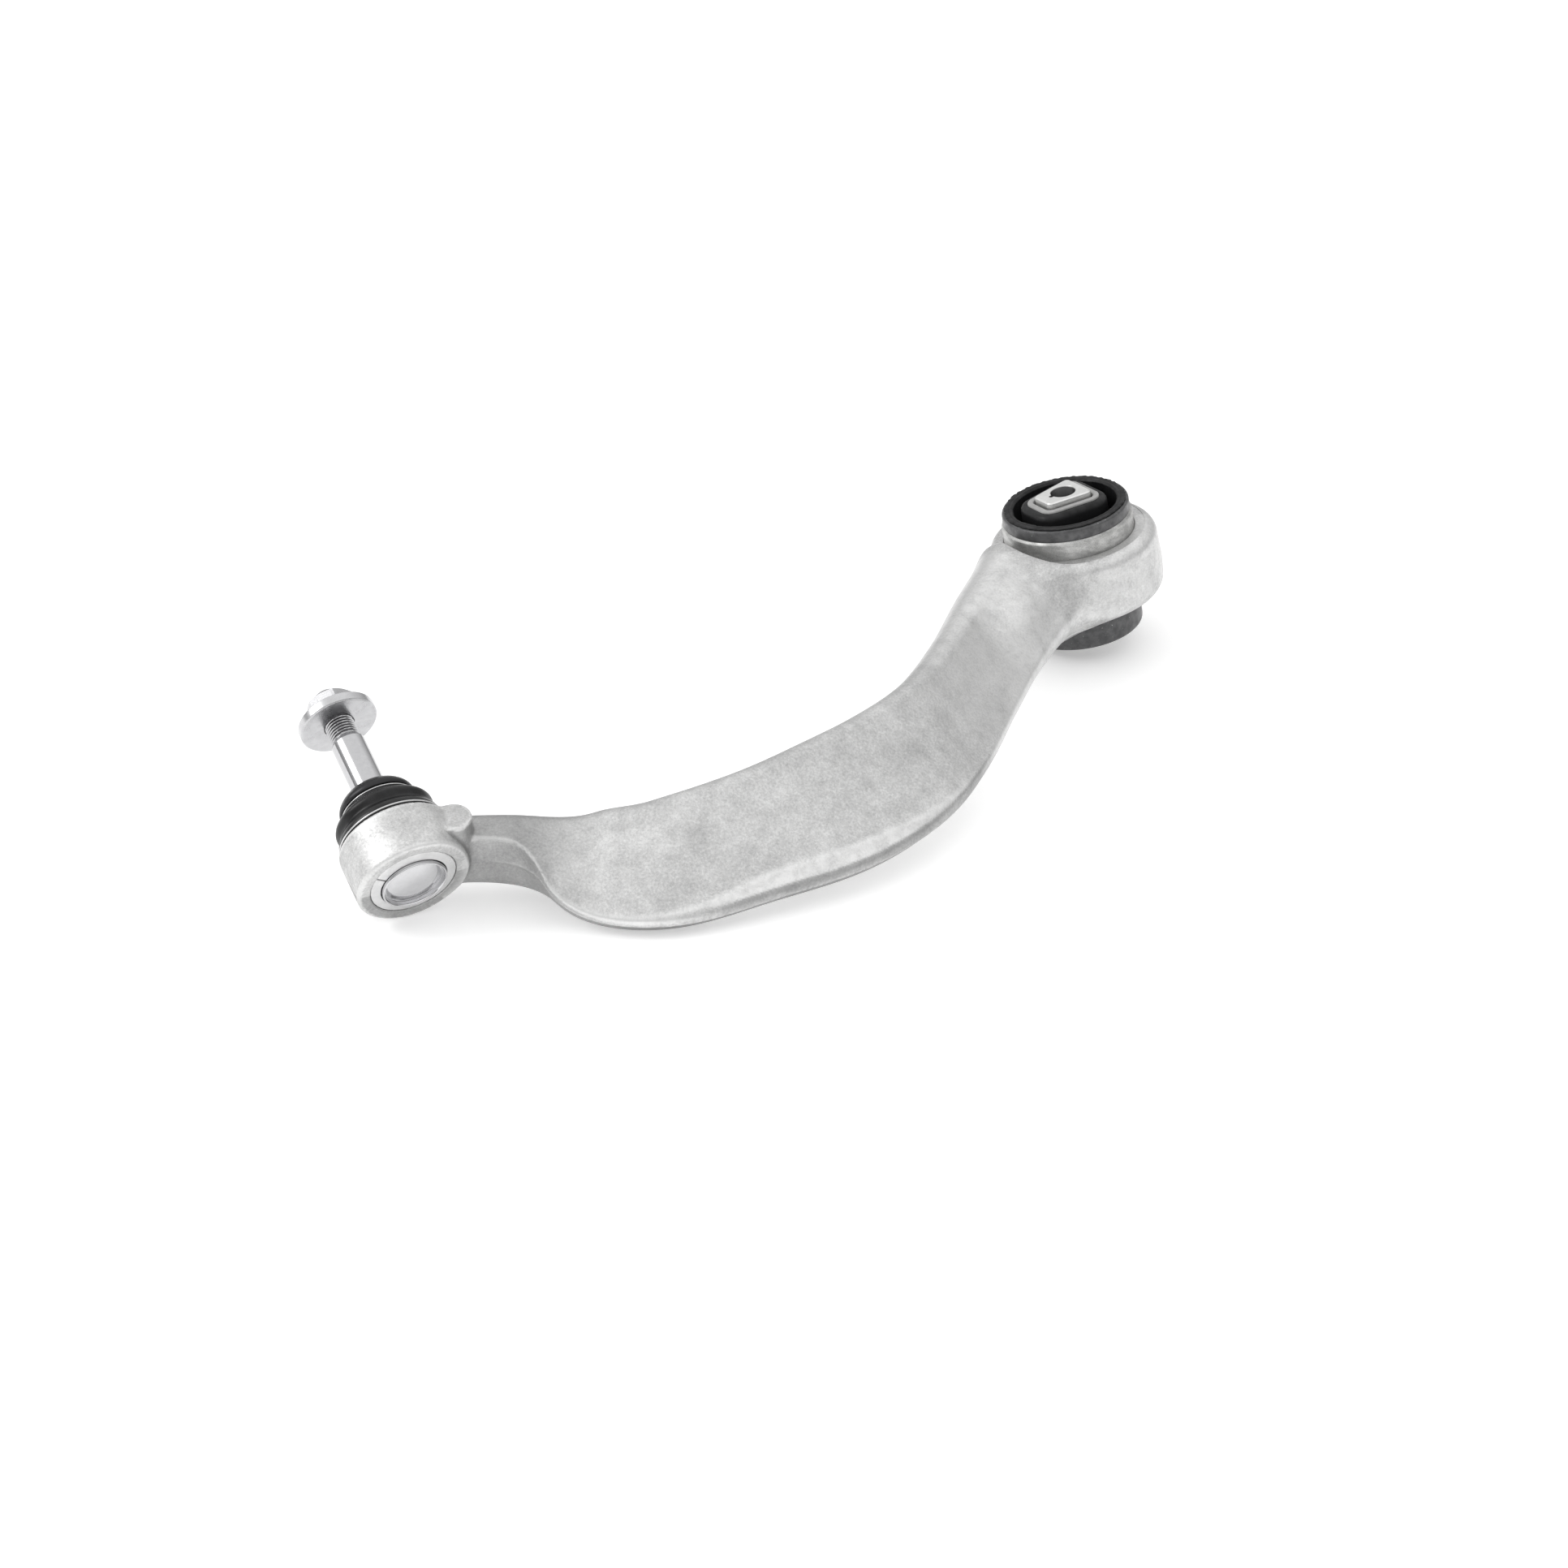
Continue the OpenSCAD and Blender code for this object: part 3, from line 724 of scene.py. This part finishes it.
def mark_forging(piece):
    """Stores where the forging gets painted highlight and painted shade, the rubbed band and the parting line.
    off is 1 away from the strap's own surface, where crests and hollows come from the surface's curving
    instead of from the section."""
    points = vertex_places(piece)
    s = section_at(points)
    seam, rubbed_and_highlight, crest_highlight_and_wear = strap_marks(s)
    off = ramp(np.abs(strap_distance(s)), 0.4, 1.5)
    curve = bend(points)
    x, y, _ = BALL.own(points).T
    # painted shade over the neck beside the housing, less of it on the boss
    neck = fade(s.run, 0.08, 0.20) * ramp(np.hypot(x, y), 26.6, 29)
    neck = neck * (1 - 0.6 * ramp(BOSS.own(points)[:, 2], -1.5, -0.5))
    # painted highlight on the convex bulge where the strap meets the eye
    bulge = 0.65 * ramp(s.run, 0.62, 0.88) * (1 - off)
    # painted highlight on crests, from the section and from the surface's curving, with some edge wear
    store(piece, "crest_highlight_and_wear", np.maximum(crest_highlight_and_wear * (1 - off), off * ramp(curve, 0.10, 0.40)))
    # painted shade: hollows from the surface's curving, the neck's walls, and the bevel and wall under the parting
    # line
    store(piece, "painted_shade", np.maximum.reduce([off * ramp(-curve, 0.04, 0.25), 0.9 * neck, -rubbed_and_highlight]))
    store(piece, "seam", seam)
    store(piece, "rubbed_and_highlight", np.maximum(rubbed_and_highlight, bulge))


def make_forging():
    """The forging's smooth surface, with the machined eye and the machined socket cut into it."""
    points, quads = forging_surface()
    piece = put_mesh("arm_body", points * MM, quads, sharp=180)
    machine_eye(piece)
    machine_socket(piece)
    mark_forging(piece)
    return piece


# ---------------------------------------------------------------- bush

SLEEVE_IN, SLEEVE_R = 31.5, 33.5
SLEEVE_LOW, SLEEVE_TOP = -16.5, 27.8
COLLAR_IN, FOOT_IN = 30.9, 29.25
RIM_Z = 34.75
CORE_TURN = math.radians(31)
CORE_BORE_R = 6.25
CORE_HALF = MOUNT["bush_bore"]["dims"]["length_mm"] / 2
CORE_CORNER_R = 2.5
# The centres of the core's four corners, in its own axes: the narrow end first.
CORE_CORNERS = np.array([[-11.0, -5.0], [8.0, -8.3], [8.0, 8.3], [-11.0, 5.0]])


def core_radius(angle, grow):
    """Distance from the bore's axis to the core's rounded trapezoid, grown outwards by grow, at each
    angle. The outline is four corner arcs joined by straight sides, followed in small steps and read off
    at the angle."""
    r = CORE_CORNER_R + grow
    corners = []
    for i in range(4):
        here = CORE_CORNERS[i]
        before, after = here - CORE_CORNERS[i - 1], CORE_CORNERS[(i + 1) % 4] - here
        start = math.atan2(-before[0], before[1])
        end = math.atan2(-after[0], after[1])
        sweep = np.linspace(start, start + (end - start) % (2 * math.pi), 24)
        corners.append(here + r * np.stack([np.cos(sweep), np.sin(sweep)], 1))
    outline = np.concatenate(corners + [corners[0][:1]])
    steps = np.linspace(0, 1, 12, endpoint=False)[None, :, None]
    fine = (outline[:-1, None] * (1 - steps) + outline[1:, None] * steps).reshape(-1, 2)
    theta = np.arctan2(fine[:, 1], fine[:, 0])
    order = np.argsort(theta)
    return np.interp(angle - CORE_TURN, theta[order], np.hypot(*fine.T)[order], period=2 * math.pi)


def core_hole(angle):
    """The bolt hole's radius at each angle, with a small round keyhole notch towards the narrow end."""
    notch_at, notch_r = CORE_BORE_R + 0.7, 1.2
    a = np.angle(np.exp(1j * (np.asarray(angle) - CORE_TURN - math.pi)))
    side = notch_at * np.sin(a)
    inside = (np.abs(side) < notch_r) & (np.cos(a) > 0)
    far = notch_at * np.cos(a) + np.sqrt(np.maximum(notch_r**2 - side**2, 0))
    return np.where(inside, np.maximum(far, CORE_BORE_R), CORE_BORE_R)


def outlined(name, profile, n=288):
    """Surface through rings round the bush's axis: each profile row is (radius or function of angle,
    height)."""
    angle = np.linspace(0, 2 * np.pi, n, endpoint=False)
    rings = []
    for radius, height in profile:
        r = radius(angle) if callable(radius) else np.full(n, float(radius))
        rings.append(np.stack([r * np.cos(angle), r * np.sin(angle), np.full(n, height)], 1))
    return ringed(name, np.array(rings), BUSH, loop=True)


def grown(grow):
    """The core's outline grown by grow, as a function of the angle."""
    return lambda angle: core_radius(angle, grow)


def make_sleeve():
    """Outer sleeve: a thin tube with a chamfer at its upper end."""
    corners = [[SLEEVE_IN, SLEEVE_LOW], [SLEEVE_R, SLEEVE_LOW], [SLEEVE_R, SLEEVE_TOP - 1.2],
               [SLEEVE_R - 0.8, SLEEVE_TOP], [SLEEVE_IN, SLEEVE_TOP]]
    return turned("sleeve_shell", eased(corners, 0.35), BUSH, n=192)


def make_upper_collar():
    """Pressed collar on the sleeve's upper end, its top edge rolled over."""
    corners = [[COLLAR_IN, SLEEVE_TOP], [32.5, SLEEVE_TOP], [32.6, 28.6], [32.6, 32.9], [31.9, 33.75],
               [COLLAR_IN, 33.75]]
    return turned("upper_collar", eased(corners, [0.1, 0.3, 0.2, 0.9, 0.6, 0.1]), BUSH, n=192)


def make_lower_collar():
    """Pressed collar under the eye, its bottom edge rolled over."""
    corners = [[FOOT_IN, SLEEVE_LOW], [31.4, SLEEVE_LOW], [31.4, -33.6], [30.7, -34.6], [FOOT_IN, -34.6]]
    return turned("lower_collar", eased(corners, [0.1, 0.2, 1.0, 0.6, 0.1]), BUSH, n=192)


def torn_rim(angle, r, z):
    """What moulding leaves on the lining's end: a torn outer edge of flash, and short tabs at its inner
    edge."""
    at_end = ramp(np.abs(z), 33, 34.7)
    outer = ramp(r, 29.6, 30.8) * at_end
    inner = fade(r, 27.0, 28.2) * at_end
    torn = 0.5 + 0.5 * np.sin(angle * 9 + 1.3) * np.sin(angle * 4 + 0.4)
    fine = 0.18 * np.sin(angle * 37 + 2) + 0.14 * np.sin(angle * 61 + 0.7)
    tabs = ramp(np.sin(angle * 5 + 0.9) * np.sin(angle * 3 + 2.1), 0.45, 0.75)
    dr = outer * (0.5 * torn + fine) - inner * (0.7 * tabs + 0.1 * np.sin(angle * 47))
    dz = outer * (0.25 * fine + 0.35 * torn * ramp(np.sin(angle * 2 + 1.9), 0.2, 0.9))
    return dr, dz * np.sign(z)


def make_lining():
    """Rubber bonded in the sleeve and collars, with a grooved rim standing out of the upper one."""
    corners = [[26.5, -34.3], [29.2, -34.4], [29.2, SLEEVE_LOW], [SLEEVE_IN, SLEEVE_LOW],
               [SLEEVE_IN, SLEEVE_TOP], [COLLAR_IN, SLEEVE_TOP], [COLLAR_IN, 33.8], [31.0, 34.45],
               [30.2, RIM_Z], [29.1, 34.7], [28.8, 34.45], [28.5, 34.7], [27.6, RIM_Z], [26.5, 33.6]]
    return turned("lining_rubber", eased(corners, 0.3, steps=3), BUSH, n=360, wave=torn_rim)


def make_core_rubber(name, side):
    """Rubber round one half of the core, side 1 or -1: a collar that the stop ring sits in, rounded
    outside."""
    top = RIM_Z + 2.4
    profile = [(7.9, 0), (8.0, 12), (8.0, top - 3.2), (7.8, top - 1.9), (7.2, top - 0.8), (6.2, top - 0.15),
               (5.2, top), (4.4, top), (4.25, top - 1.2), (1.0, top - 1.2), (0.05, top - 1.0), (0.05, 0)]
    return outlined(name, [(grown(grow), side * z) for grow, z in profile])


def make_bridge():
    """Rubber bar across the lining that carries the core: a drum cut off flat at the two voids."""
    drum_r, half_bar, half_height = 26.45, 20.5, 20

    def bar(shrink):
        return lambda angle: np.minimum(drum_r, half_bar / np.maximum(np.abs(np.cos(angle)), 1e-3)) - shrink

    lower = [(grown(7.5), 2 - half_height), (bar(1.5), -half_height), (bar(0.4), 1 - half_height),
             (bar(0), 2.5 - half_height)]
    return outlined("bridge_rubber", lower + [(radius, -z) for radius, z in reversed(lower)])


def make_core():
    """The trapezoid core with bevelled ends and a bevelled bolt hole; groove is 1 inside the hole, where the
    material paints shade.
    """
    def wide_hole(angle):
        return core_hole(angle) + 0.35

    upper = [(grown(0), 15), (grown(0), CORE_HALF - 0.6), (grown(-0.6), CORE_HALF), (wide_hole, CORE_HALF),
             (core_hole, CORE_HALF - 0.5)]
    lower = [(radius, -z) for radius, z in reversed(upper)]
    piece = outlined("core_metal", lower + upper + [(core_hole, 0)], n=360)
    x, y, _ = BUSH.own(vertex_places(piece)).T
    store(piece, "groove", (np.hypot(x, y) < core_hole(np.arctan2(y, x)) + 0.1) * 1.0)
    return piece


def make_stop_ring(name, side):
    """Light ring round one end of the core, side 1 or -1, with a rounded outer edge."""
    low, high = RIM_Z + 1.0, RIM_Z + 3.2
    profile = [(1.15, low), (4.2, low), (4.2, high - 0.5), (4.0, high - 0.1), (3.7, high), (1.5, high),
               (1.2, high - 0.25)]
    return outlined(name, [(grown(grow), side * z) for grow, z in profile])


# ---------------------------------------------------------------- ball joint

PITCH = 1.5
THREAD_FROM, TIP = 67.5, 95.0
BALL_R, NECK_R, SHANK_R, THREAD_R = 13.5, 7.2, 8.0, 6.95
SOCKET_FLATS = 6.0
WASHER_AT, WASHER_T, WASHER_R = 77.2, 5.0, 18.5
NUT_H, NUT_FLATS = 9.0, 21.0
DOME_FROM = 28.4


def thread_depth(angle, z, start, end):
    """How far the thread's groove lies under its crest: a rounded V once in each pitch that climbs with the
    angle, fading in and out at the two ends."""
    phase = (z / PITCH - angle / (2 * np.pi)) % 1.0
    groove = np.clip(1.35 * (1 - np.abs(2 * phase - 1)) - 0.12, 0, 1)
    return 0.92 * groove * ramp(z, start, start + 1.2) * (1 - ramp(z, end - 1.4, end - 0.2))


def thread_wave(angle, r, z):
    """The thread's groove taken off the radius between the shank and the tip."""
    threaded = (z > THREAD_FROM) & (z < TIP - 0.9)
    return -np.where(threaded, thread_depth(angle, z, THREAD_FROM, TIP - 0.3), 0), 0 * z


def make_stud():
    """Ball, neck, shank and thread as one turned surface, with a hexagon socket cut into the tip; groove
    is 1 deep in the thread, where the stud's material paints shade."""
    sweep = np.linspace(-1.52, math.acos(NECK_R / BALL_R) - 0.02, 40)
    ball = np.stack([BALL_R * np.cos(sweep), BALL_R * np.sin(sweep)], 1)
    neck = eased([ball[-1], [NECK_R, 12.6], [7.4, 14], [SHANK_R - 0.1, 23.6], [SHANK_R, 25],
                  [SHANK_R, 65.9], [NECK_R, 66.9], [THREAD_R, THREAD_FROM]], 0.8, closed=False)
    heights = np.arange(THREAD_FROM + 0.12, TIP - 1.0, 0.12)
    thread = np.stack([np.full(len(heights), THREAD_R), heights], 1)
    tip = [[THREAD_R, TIP - 1.0], [THREAD_R - 1.0, TIP], [1.0, TIP]]
    profile = np.concatenate([ball, neck[1:], thread, tip])
    piece = turned("ball_stud_turned", profile, BALL, n=96, loop=False, wave=thread_wave)
    corner = SOCKET_FLATS / 2 / math.cos(math.pi / 6)
    tool = turned("hex_tool", [[corner, TIP - 6], [corner, TIP + 2]], BALL, n=6, loop=False)
    cut(piece, tool, 50)
    x, y, z = BALL.own(vertex_places(piece)).T
    deep = ramp(THREAD_R - np.hypot(x, y), 0.25, 0.8)
    store(piece, "groove", deep * (z > THREAD_FROM) * (z < TIP - 1.2))
    return piece


def hexagon(angle, flats):
    """Distance from the middle to a hexagon's side at each angle."""
    return flats / 2 / np.cos((angle + np.pi / 6) % (np.pi / 3) - np.pi / 6)


def make_nut():
    """Hexagon nut: its side walls end where a cone cuts off the corners, top and bottom, and the bore is
    countersunk."""
    angle = np.linspace(0, 2 * np.pi, 240, endpoint=False)
    low = WASHER_AT + WASHER_T + 0.1
    high = low + NUT_H
    side = hexagon(angle, NUT_FLATS)
    bore, face_r = THREAD_R + 0.05, NUT_FLATS / 2 - 0.4
    fall = (side - face_r) * math.tan(math.radians(30))
    rows = [(bore, low + 0.9), (bore + 0.8, low), (face_r, low), (side - 0.05, low + 0.35 * fall),
            (side, low + 0.35 * fall + 0.1), (side, high - fall - 0.1), (side - 0.08, high - fall),
            (face_r, high), (bore + 0.8, high), (bore, high - 0.9)]
    rings = [np.stack([r * np.cos(angle), r * np.sin(angle), z + 0 * angle], 1) for r, z in rows]
    return ringed("hex_nut", np.array(rings), BALL, loop=True, sharp=25)


BOOT_OUT = np.array([
    [24.35, 9.35], [24.75, 9.9], [24.8, 11.2], [24.75, 12.4], [24.2, 13.8], [23.2, 15.0], [22.5, 16.0],
    [22.45, 16.9], [22.9, 18.0], [23.35, 19.1], [23.4, 20.2], [22.8, 21.6], [21.2, 22.9], [19.2, 23.9],
    [18.0, 24.8], [17.55, 25.9], [17.5, 26.8], [17.4, 27.6]])
BOOT_WALL, BOOT_BORE = 2.2, 14.0


def make_boot():
    """Two-fold boot: the outer profile, softened, and the same profile a wall's thickness further in."""
    outer = eased(BOOT_OUT, 0.9, closed=False, steps=3)
    inner = np.stack([np.maximum(outer[::-1, 0] - BOOT_WALL, BOOT_BORE), outer[::-1, 1]], 1)
    return turned("boot_rubber", np.concatenate([outer, inner]), BALL, n=176)


def make_cap():
    """Pressed cap: a crown that rises towards its edge by a power of the radius, a step down to a rolled
    rim, and a flange that the split ring holds."""
    crown_r, rise = 13.0, 2.9
    face, seat = HOUSING_LOW - 2.0, HOUSING_LOW + 2.6
    sweep = np.linspace(0.3, crown_r, 16)
    crown = np.stack([sweep, face + rise * (sweep / crown_r) ** 2.6], 1)
    rim = [[13.7, face + rise], [14.0, face + rise], [14.15, face + 0.9], [14.5, face + 0.1], [14.9, face],
           [15.3, face + 0.4], [15.4, face + 1.2], [15.4, seat], [17.3, seat], [17.3, HOUSING_LOW + 4],
           [0.3, HOUSING_LOW + 4]]
    profile = eased(np.concatenate([crown, rim]), 0.3, closed=False, steps=3)
    return turned("pressed_cap", profile, BALL, n=160, loop=False)


SPLIT_AT = math.radians(205)


def split_wave(angle, r, z):
    """A narrow slot across the ring at SPLIT_AT, and a slightly ragged outer edge."""
    seen = z < HOUSING_LOW + 1.4
    from_split = np.abs(np.angle(np.exp(1j * (angle - SPLIT_AT))))
    slot = 1.5 * fade(from_split, 0.008, 0.022) * ramp(r, 15.2, 15.8)
    ragged = 0.108 * ramp(r, 19.2, 20.4) * np.abs(np.sin(angle * 23) + np.sin(angle * 57 + 1))
    return -ragged * seen, slot * seen


def make_split_ring():
    """Flat ring rolled in over the cap's flange, its face sloping a little outwards."""
    inner, outer, seat = 15.65, 20.45, HOUSING_LOW + 2.6
    corners = [[inner, HOUSING_LOW + 0.1], [15.9, HOUSING_LOW - 0.25], [17.8, HOUSING_LOW + 0.05],
               [20.0, HOUSING_LOW + 0.35], [outer, HOUSING_LOW + 0.7], [outer, seat], [inner, seat]]
    return turned("split_ring", eased(corners, 0.25), BALL, n=720, wave=split_wave)


def make_wire(name, radius, height, wire_r):
    """Round wire that clamps the boot."""
    sweep = np.linspace(0, 2 * np.pi, 14, endpoint=False)
    circle = np.stack([radius + wire_r * np.cos(sweep), height + wire_r * np.sin(sweep)], 1)
    return turned(name, circle, BALL, n=160)


def make_seal():
    """Domed collar round the shank over the boot's upper end."""
    bore, top = SHANK_R + 0.1, DOME_FROM + 8.8
    corners = [[bore, DOME_FROM - 0.6], [17.6, DOME_FROM - 0.6], [18.1, DOME_FROM + 0.1],
               [18.1, DOME_FROM + 1.3], [17.4, DOME_FROM + 3.0], [15.7, DOME_FROM + 5.0],
               [13.5, DOME_FROM + 6.8], [11.1, DOME_FROM + 8.1], [9.2, top], [bore, top]]
    return turned("seal_dome", eased(corners, 0.6, steps=5), BALL, n=160)


def make_washer():
    """Thick flat washer with chamfered edges."""
    bore, low, top = THREAD_R + 0.05, WASHER_AT, WASHER_AT + WASHER_T
    corners = [[bore, low + 0.4], [THREAD_R + 0.5, low], [WASHER_R - 0.7, low], [WASHER_R, low + 0.6],
               [WASHER_R, top - 0.6], [WASHER_R - 0.7, top], [bore, top]]
    return turned("stud_washer", eased(corners, 0.25), BALL, n=192)


# ---------------------------------------------------------------- putting it together


def fit_out(piece, material, body, slot, *nodes):
    """Paints a new piece, lets it ride on its body, if it has one, and hides the parts it stands for."""
    wear(piece, material)
    if body:
        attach(piece, body)
    if nodes:
        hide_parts(*nodes)


def stretch_between(piece, place, low, high):
    """Bakes a rubber piece's placement into its mesh; the points at the heights low and high on the place's
    axis are worked out but not used.
    """
    start, end = (tuple(place.out(np.array([0, 0, height]))) for height in (low, high))
    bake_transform(piece)


RUBBER = moulded_rubber("bush_rubber", 0.5)
BOOT_PAINT = moulded_rubber("boot_rubber_paint", 0.32)
DARK = coated_steel()
# the core's material paints shade inside the bolt hole
CORE = turned_metal("core_aluminium", (0.80, 0.80, 0.79), 0.42, line=0.5, depth=0.02, speck=1.6, shade_in_bore=True)
STOP = matte_grey("stop_ring_plastic", (0.36, 0.36, 0.355), 0.6)
PLASTIC = matte_grey("inner_plastic_paint", (0.72, 0.71, 0.67), 0.5)
# the stud's material paints shade in the thread's grooves
POLISHED = polished_steel("polished_stud_steel", shade_in_grooves=True)
CAP_STEEL = polished_steel("polished_cap_steel", (0.62, 0.62, 0.63), 0.12)
RING_STEEL = turned_metal("ring_steel_paint", (0.68, 0.68, 0.68), 0.30, depth=0.01)
INNER_STEEL = turned_metal("inner_steel_paint", (0.50, 0.51, 0.52), 0.35)
ZINC = turned_metal("bright_zinc", (0.56, 0.56, 0.57), 0.24, line=0.6, depth=0.01, speck=2.4)
SEAL_PAINT = turned_metal("seal_dark_paint", (0.045, 0.045, 0.047), 0.34, line=0.4, depth=0.01)

fit_out(make_forging(), forged_aluminium(), "arm", "forged_arm", "arm_forging")

fit_out(make_sleeve(), grainy_sleeve(), "arm", "sleeve", "bush_sleeve")
fit_out(make_upper_collar(), DARK, "arm", "dark_collar", "top_collar")
fit_out(make_lower_collar(), DARK, "arm", "dark_collar", "bottom_collar")
fit_out(make_lining(), RUBBER, "arm", "rubber", "rubber_lining")
fit_out(make_bridge(), RUBBER, "arm", "rubber", "rubber_block")
for side, name in ((1, "core_rubber_upper"), (-1, "core_rubber_lower")):
    rubber = make_core_rubber(name, side)
    fit_out(rubber, RUBBER, None, "rubber")
    stretch_between(rubber, BUSH, side * 16.0, side * 32.0)
fit_out(make_core(), CORE, "core", "core", "inner_core")
fit_out(make_stop_ring("stop_ring_upper", 1), STOP, "core", "stop_ring", "stop_ring_top")
fit_out(make_stop_ring("stop_ring_lower", -1), STOP, "core", "stop_ring", "stop_ring_bottom")

fit_out(make_cap(), CAP_STEEL, "arm", "polished_steel", "closing_cap")
fit_out(make_split_ring(), RING_STEEL, "arm", "ring_steel", "retaining_ring")
lower_wire = make_wire("boot_wire_lower", 24.95, 10.6, 0.42)
upper_wire = make_wire("boot_wire_upper", 17.55, 26.9, 0.32)
fit_out(lower_wire, RING_STEEL, "arm", "ring_steel", "boot_lower_ring")
fit_out(upper_wire, RING_STEEL, "seal", "ring_steel", "boot_upper_ring")
fit_out(make_seal(), SEAL_PAINT, "seal", "seal_dark", "seal_collar")
fit_out(make_stud(), POLISHED, "stud", "polished_steel", "ball_stud")
fit_out(make_washer(), ZINC, "washer", "zinc", "nut_washer")
fit_out(make_nut(), ZINC, "nut", "zinc", "collar_nut")
boot = make_boot()
fit_out(boot, BOOT_PAINT, None, "boot_rubber", "boot")
stretch_between(boot, BALL, 11.5, 26.0)

for node in ("channel_shell_front", "channel_shell_back", "ball_race"):
    wear(frame["nodes"][node], PLASTIC)
for node in ("cage_ring_upper", "cage_ring_lower"):
    wear(frame["nodes"][node], INNER_STEEL)


# ---------------------------------------------------------------- floor, light, camera


FLOOR_HALF = 14.0
FLOOR_GAP = 0.0002


def make_floor():
    """A wide plain floor just under the part's lowest point."""
    z = CAD_BOX[0][2] - FLOOR_GAP
    corners = [(x * FLOOR_HALF, y * FLOOR_HALF, z) for x, y in ((-1, -1), (1, -1), (1, 1), (-1, 1))]
    mesh = bpy.data.meshes.new("studio_floor")
    mesh.from_pydata(corners, [], [(0, 1, 2, 3)])
    floor = bpy.data.objects.new("studio_floor", mesh)
    bpy.context.scene.collection.objects.link(floor)
    p = Paint("floor_paper", Base_Color=(0.85, 0.85, 0.85, 1), Roughness=0.9,
              Emission_Color=(1, 1, 1, 1), Emission_Strength=0.33)
    wear(floor, p)


def make_light(name, at, size, power, target):
    """A soft square lamp at a place, turned to a target."""
    lamp = bpy.data.lights.new(name, "AREA")
    lamp.shape = "SQUARE"
    lamp.size = size
    lamp.energy = power
    thing = bpy.data.objects.new(name, lamp)
    bpy.context.scene.collection.objects.link(thing)
    thing.location = at
    thing.rotation_euler = (Vector(target) - Vector(at)).to_track_quat("-Z", "Y").to_euler()


def make_studio():
    """A pale sky that is brightest overhead, and one soft lamp on the left."""
    world = bpy.data.worlds.new("studio")
    bpy.context.scene.world = world
    world.use_nodes = True
    tree = world.node_tree
    sky = tree.nodes["Background"]
    where = tree.nodes.new("ShaderNodeTexCoord")
    split = tree.nodes.new("ShaderNodeSeparateXYZ")
    scale = tree.nodes.new("ShaderNodeValToRGB")
    tree.links.new(where.outputs["Generated"], split.inputs[0])
    tree.links.new(split.outputs["Z"], scale.inputs["Fac"])
    tree.links.new(scale.outputs["Color"], sky.inputs["Color"])
    stops = scale.color_ramp.elements
    stops[0].position, stops[0].color = 0.02, (0.30, 0.30, 0.30, 1)
    stops[1].position, stops[1].color = 0.72, (1.0, 1.0, 1.0, 1)
    sky.inputs["Strength"].default_value = 1.15
    make_light("left_softbox", (-1.7, -0.3, 1.0), size=0.8, power=11, target=(-0.16, -0.14, 0.0))


def make_camera():
    """The camera stands in front, looks along +Y and 29 degrees down, and takes in 25 degrees."""
    down, view = math.radians(29), math.radians(25)
    lens = bpy.data.cameras.new("camera")
    lens.sensor_fit = "HORIZONTAL"
    lens.angle = view
    lens.clip_end = 60
    camera = bpy.data.objects.new("camera", lens)
    bpy.context.scene.collection.objects.link(camera)
    camera.location = (-0.14883, -1.64478, 0.78175)
    camera.rotation_euler = (math.pi / 2 - down, 0, 0)
    bpy.context.scene.camera = camera


make_floor()
make_studio()
make_camera()
bpy.context.scene.view_settings.view_transform = "Standard"
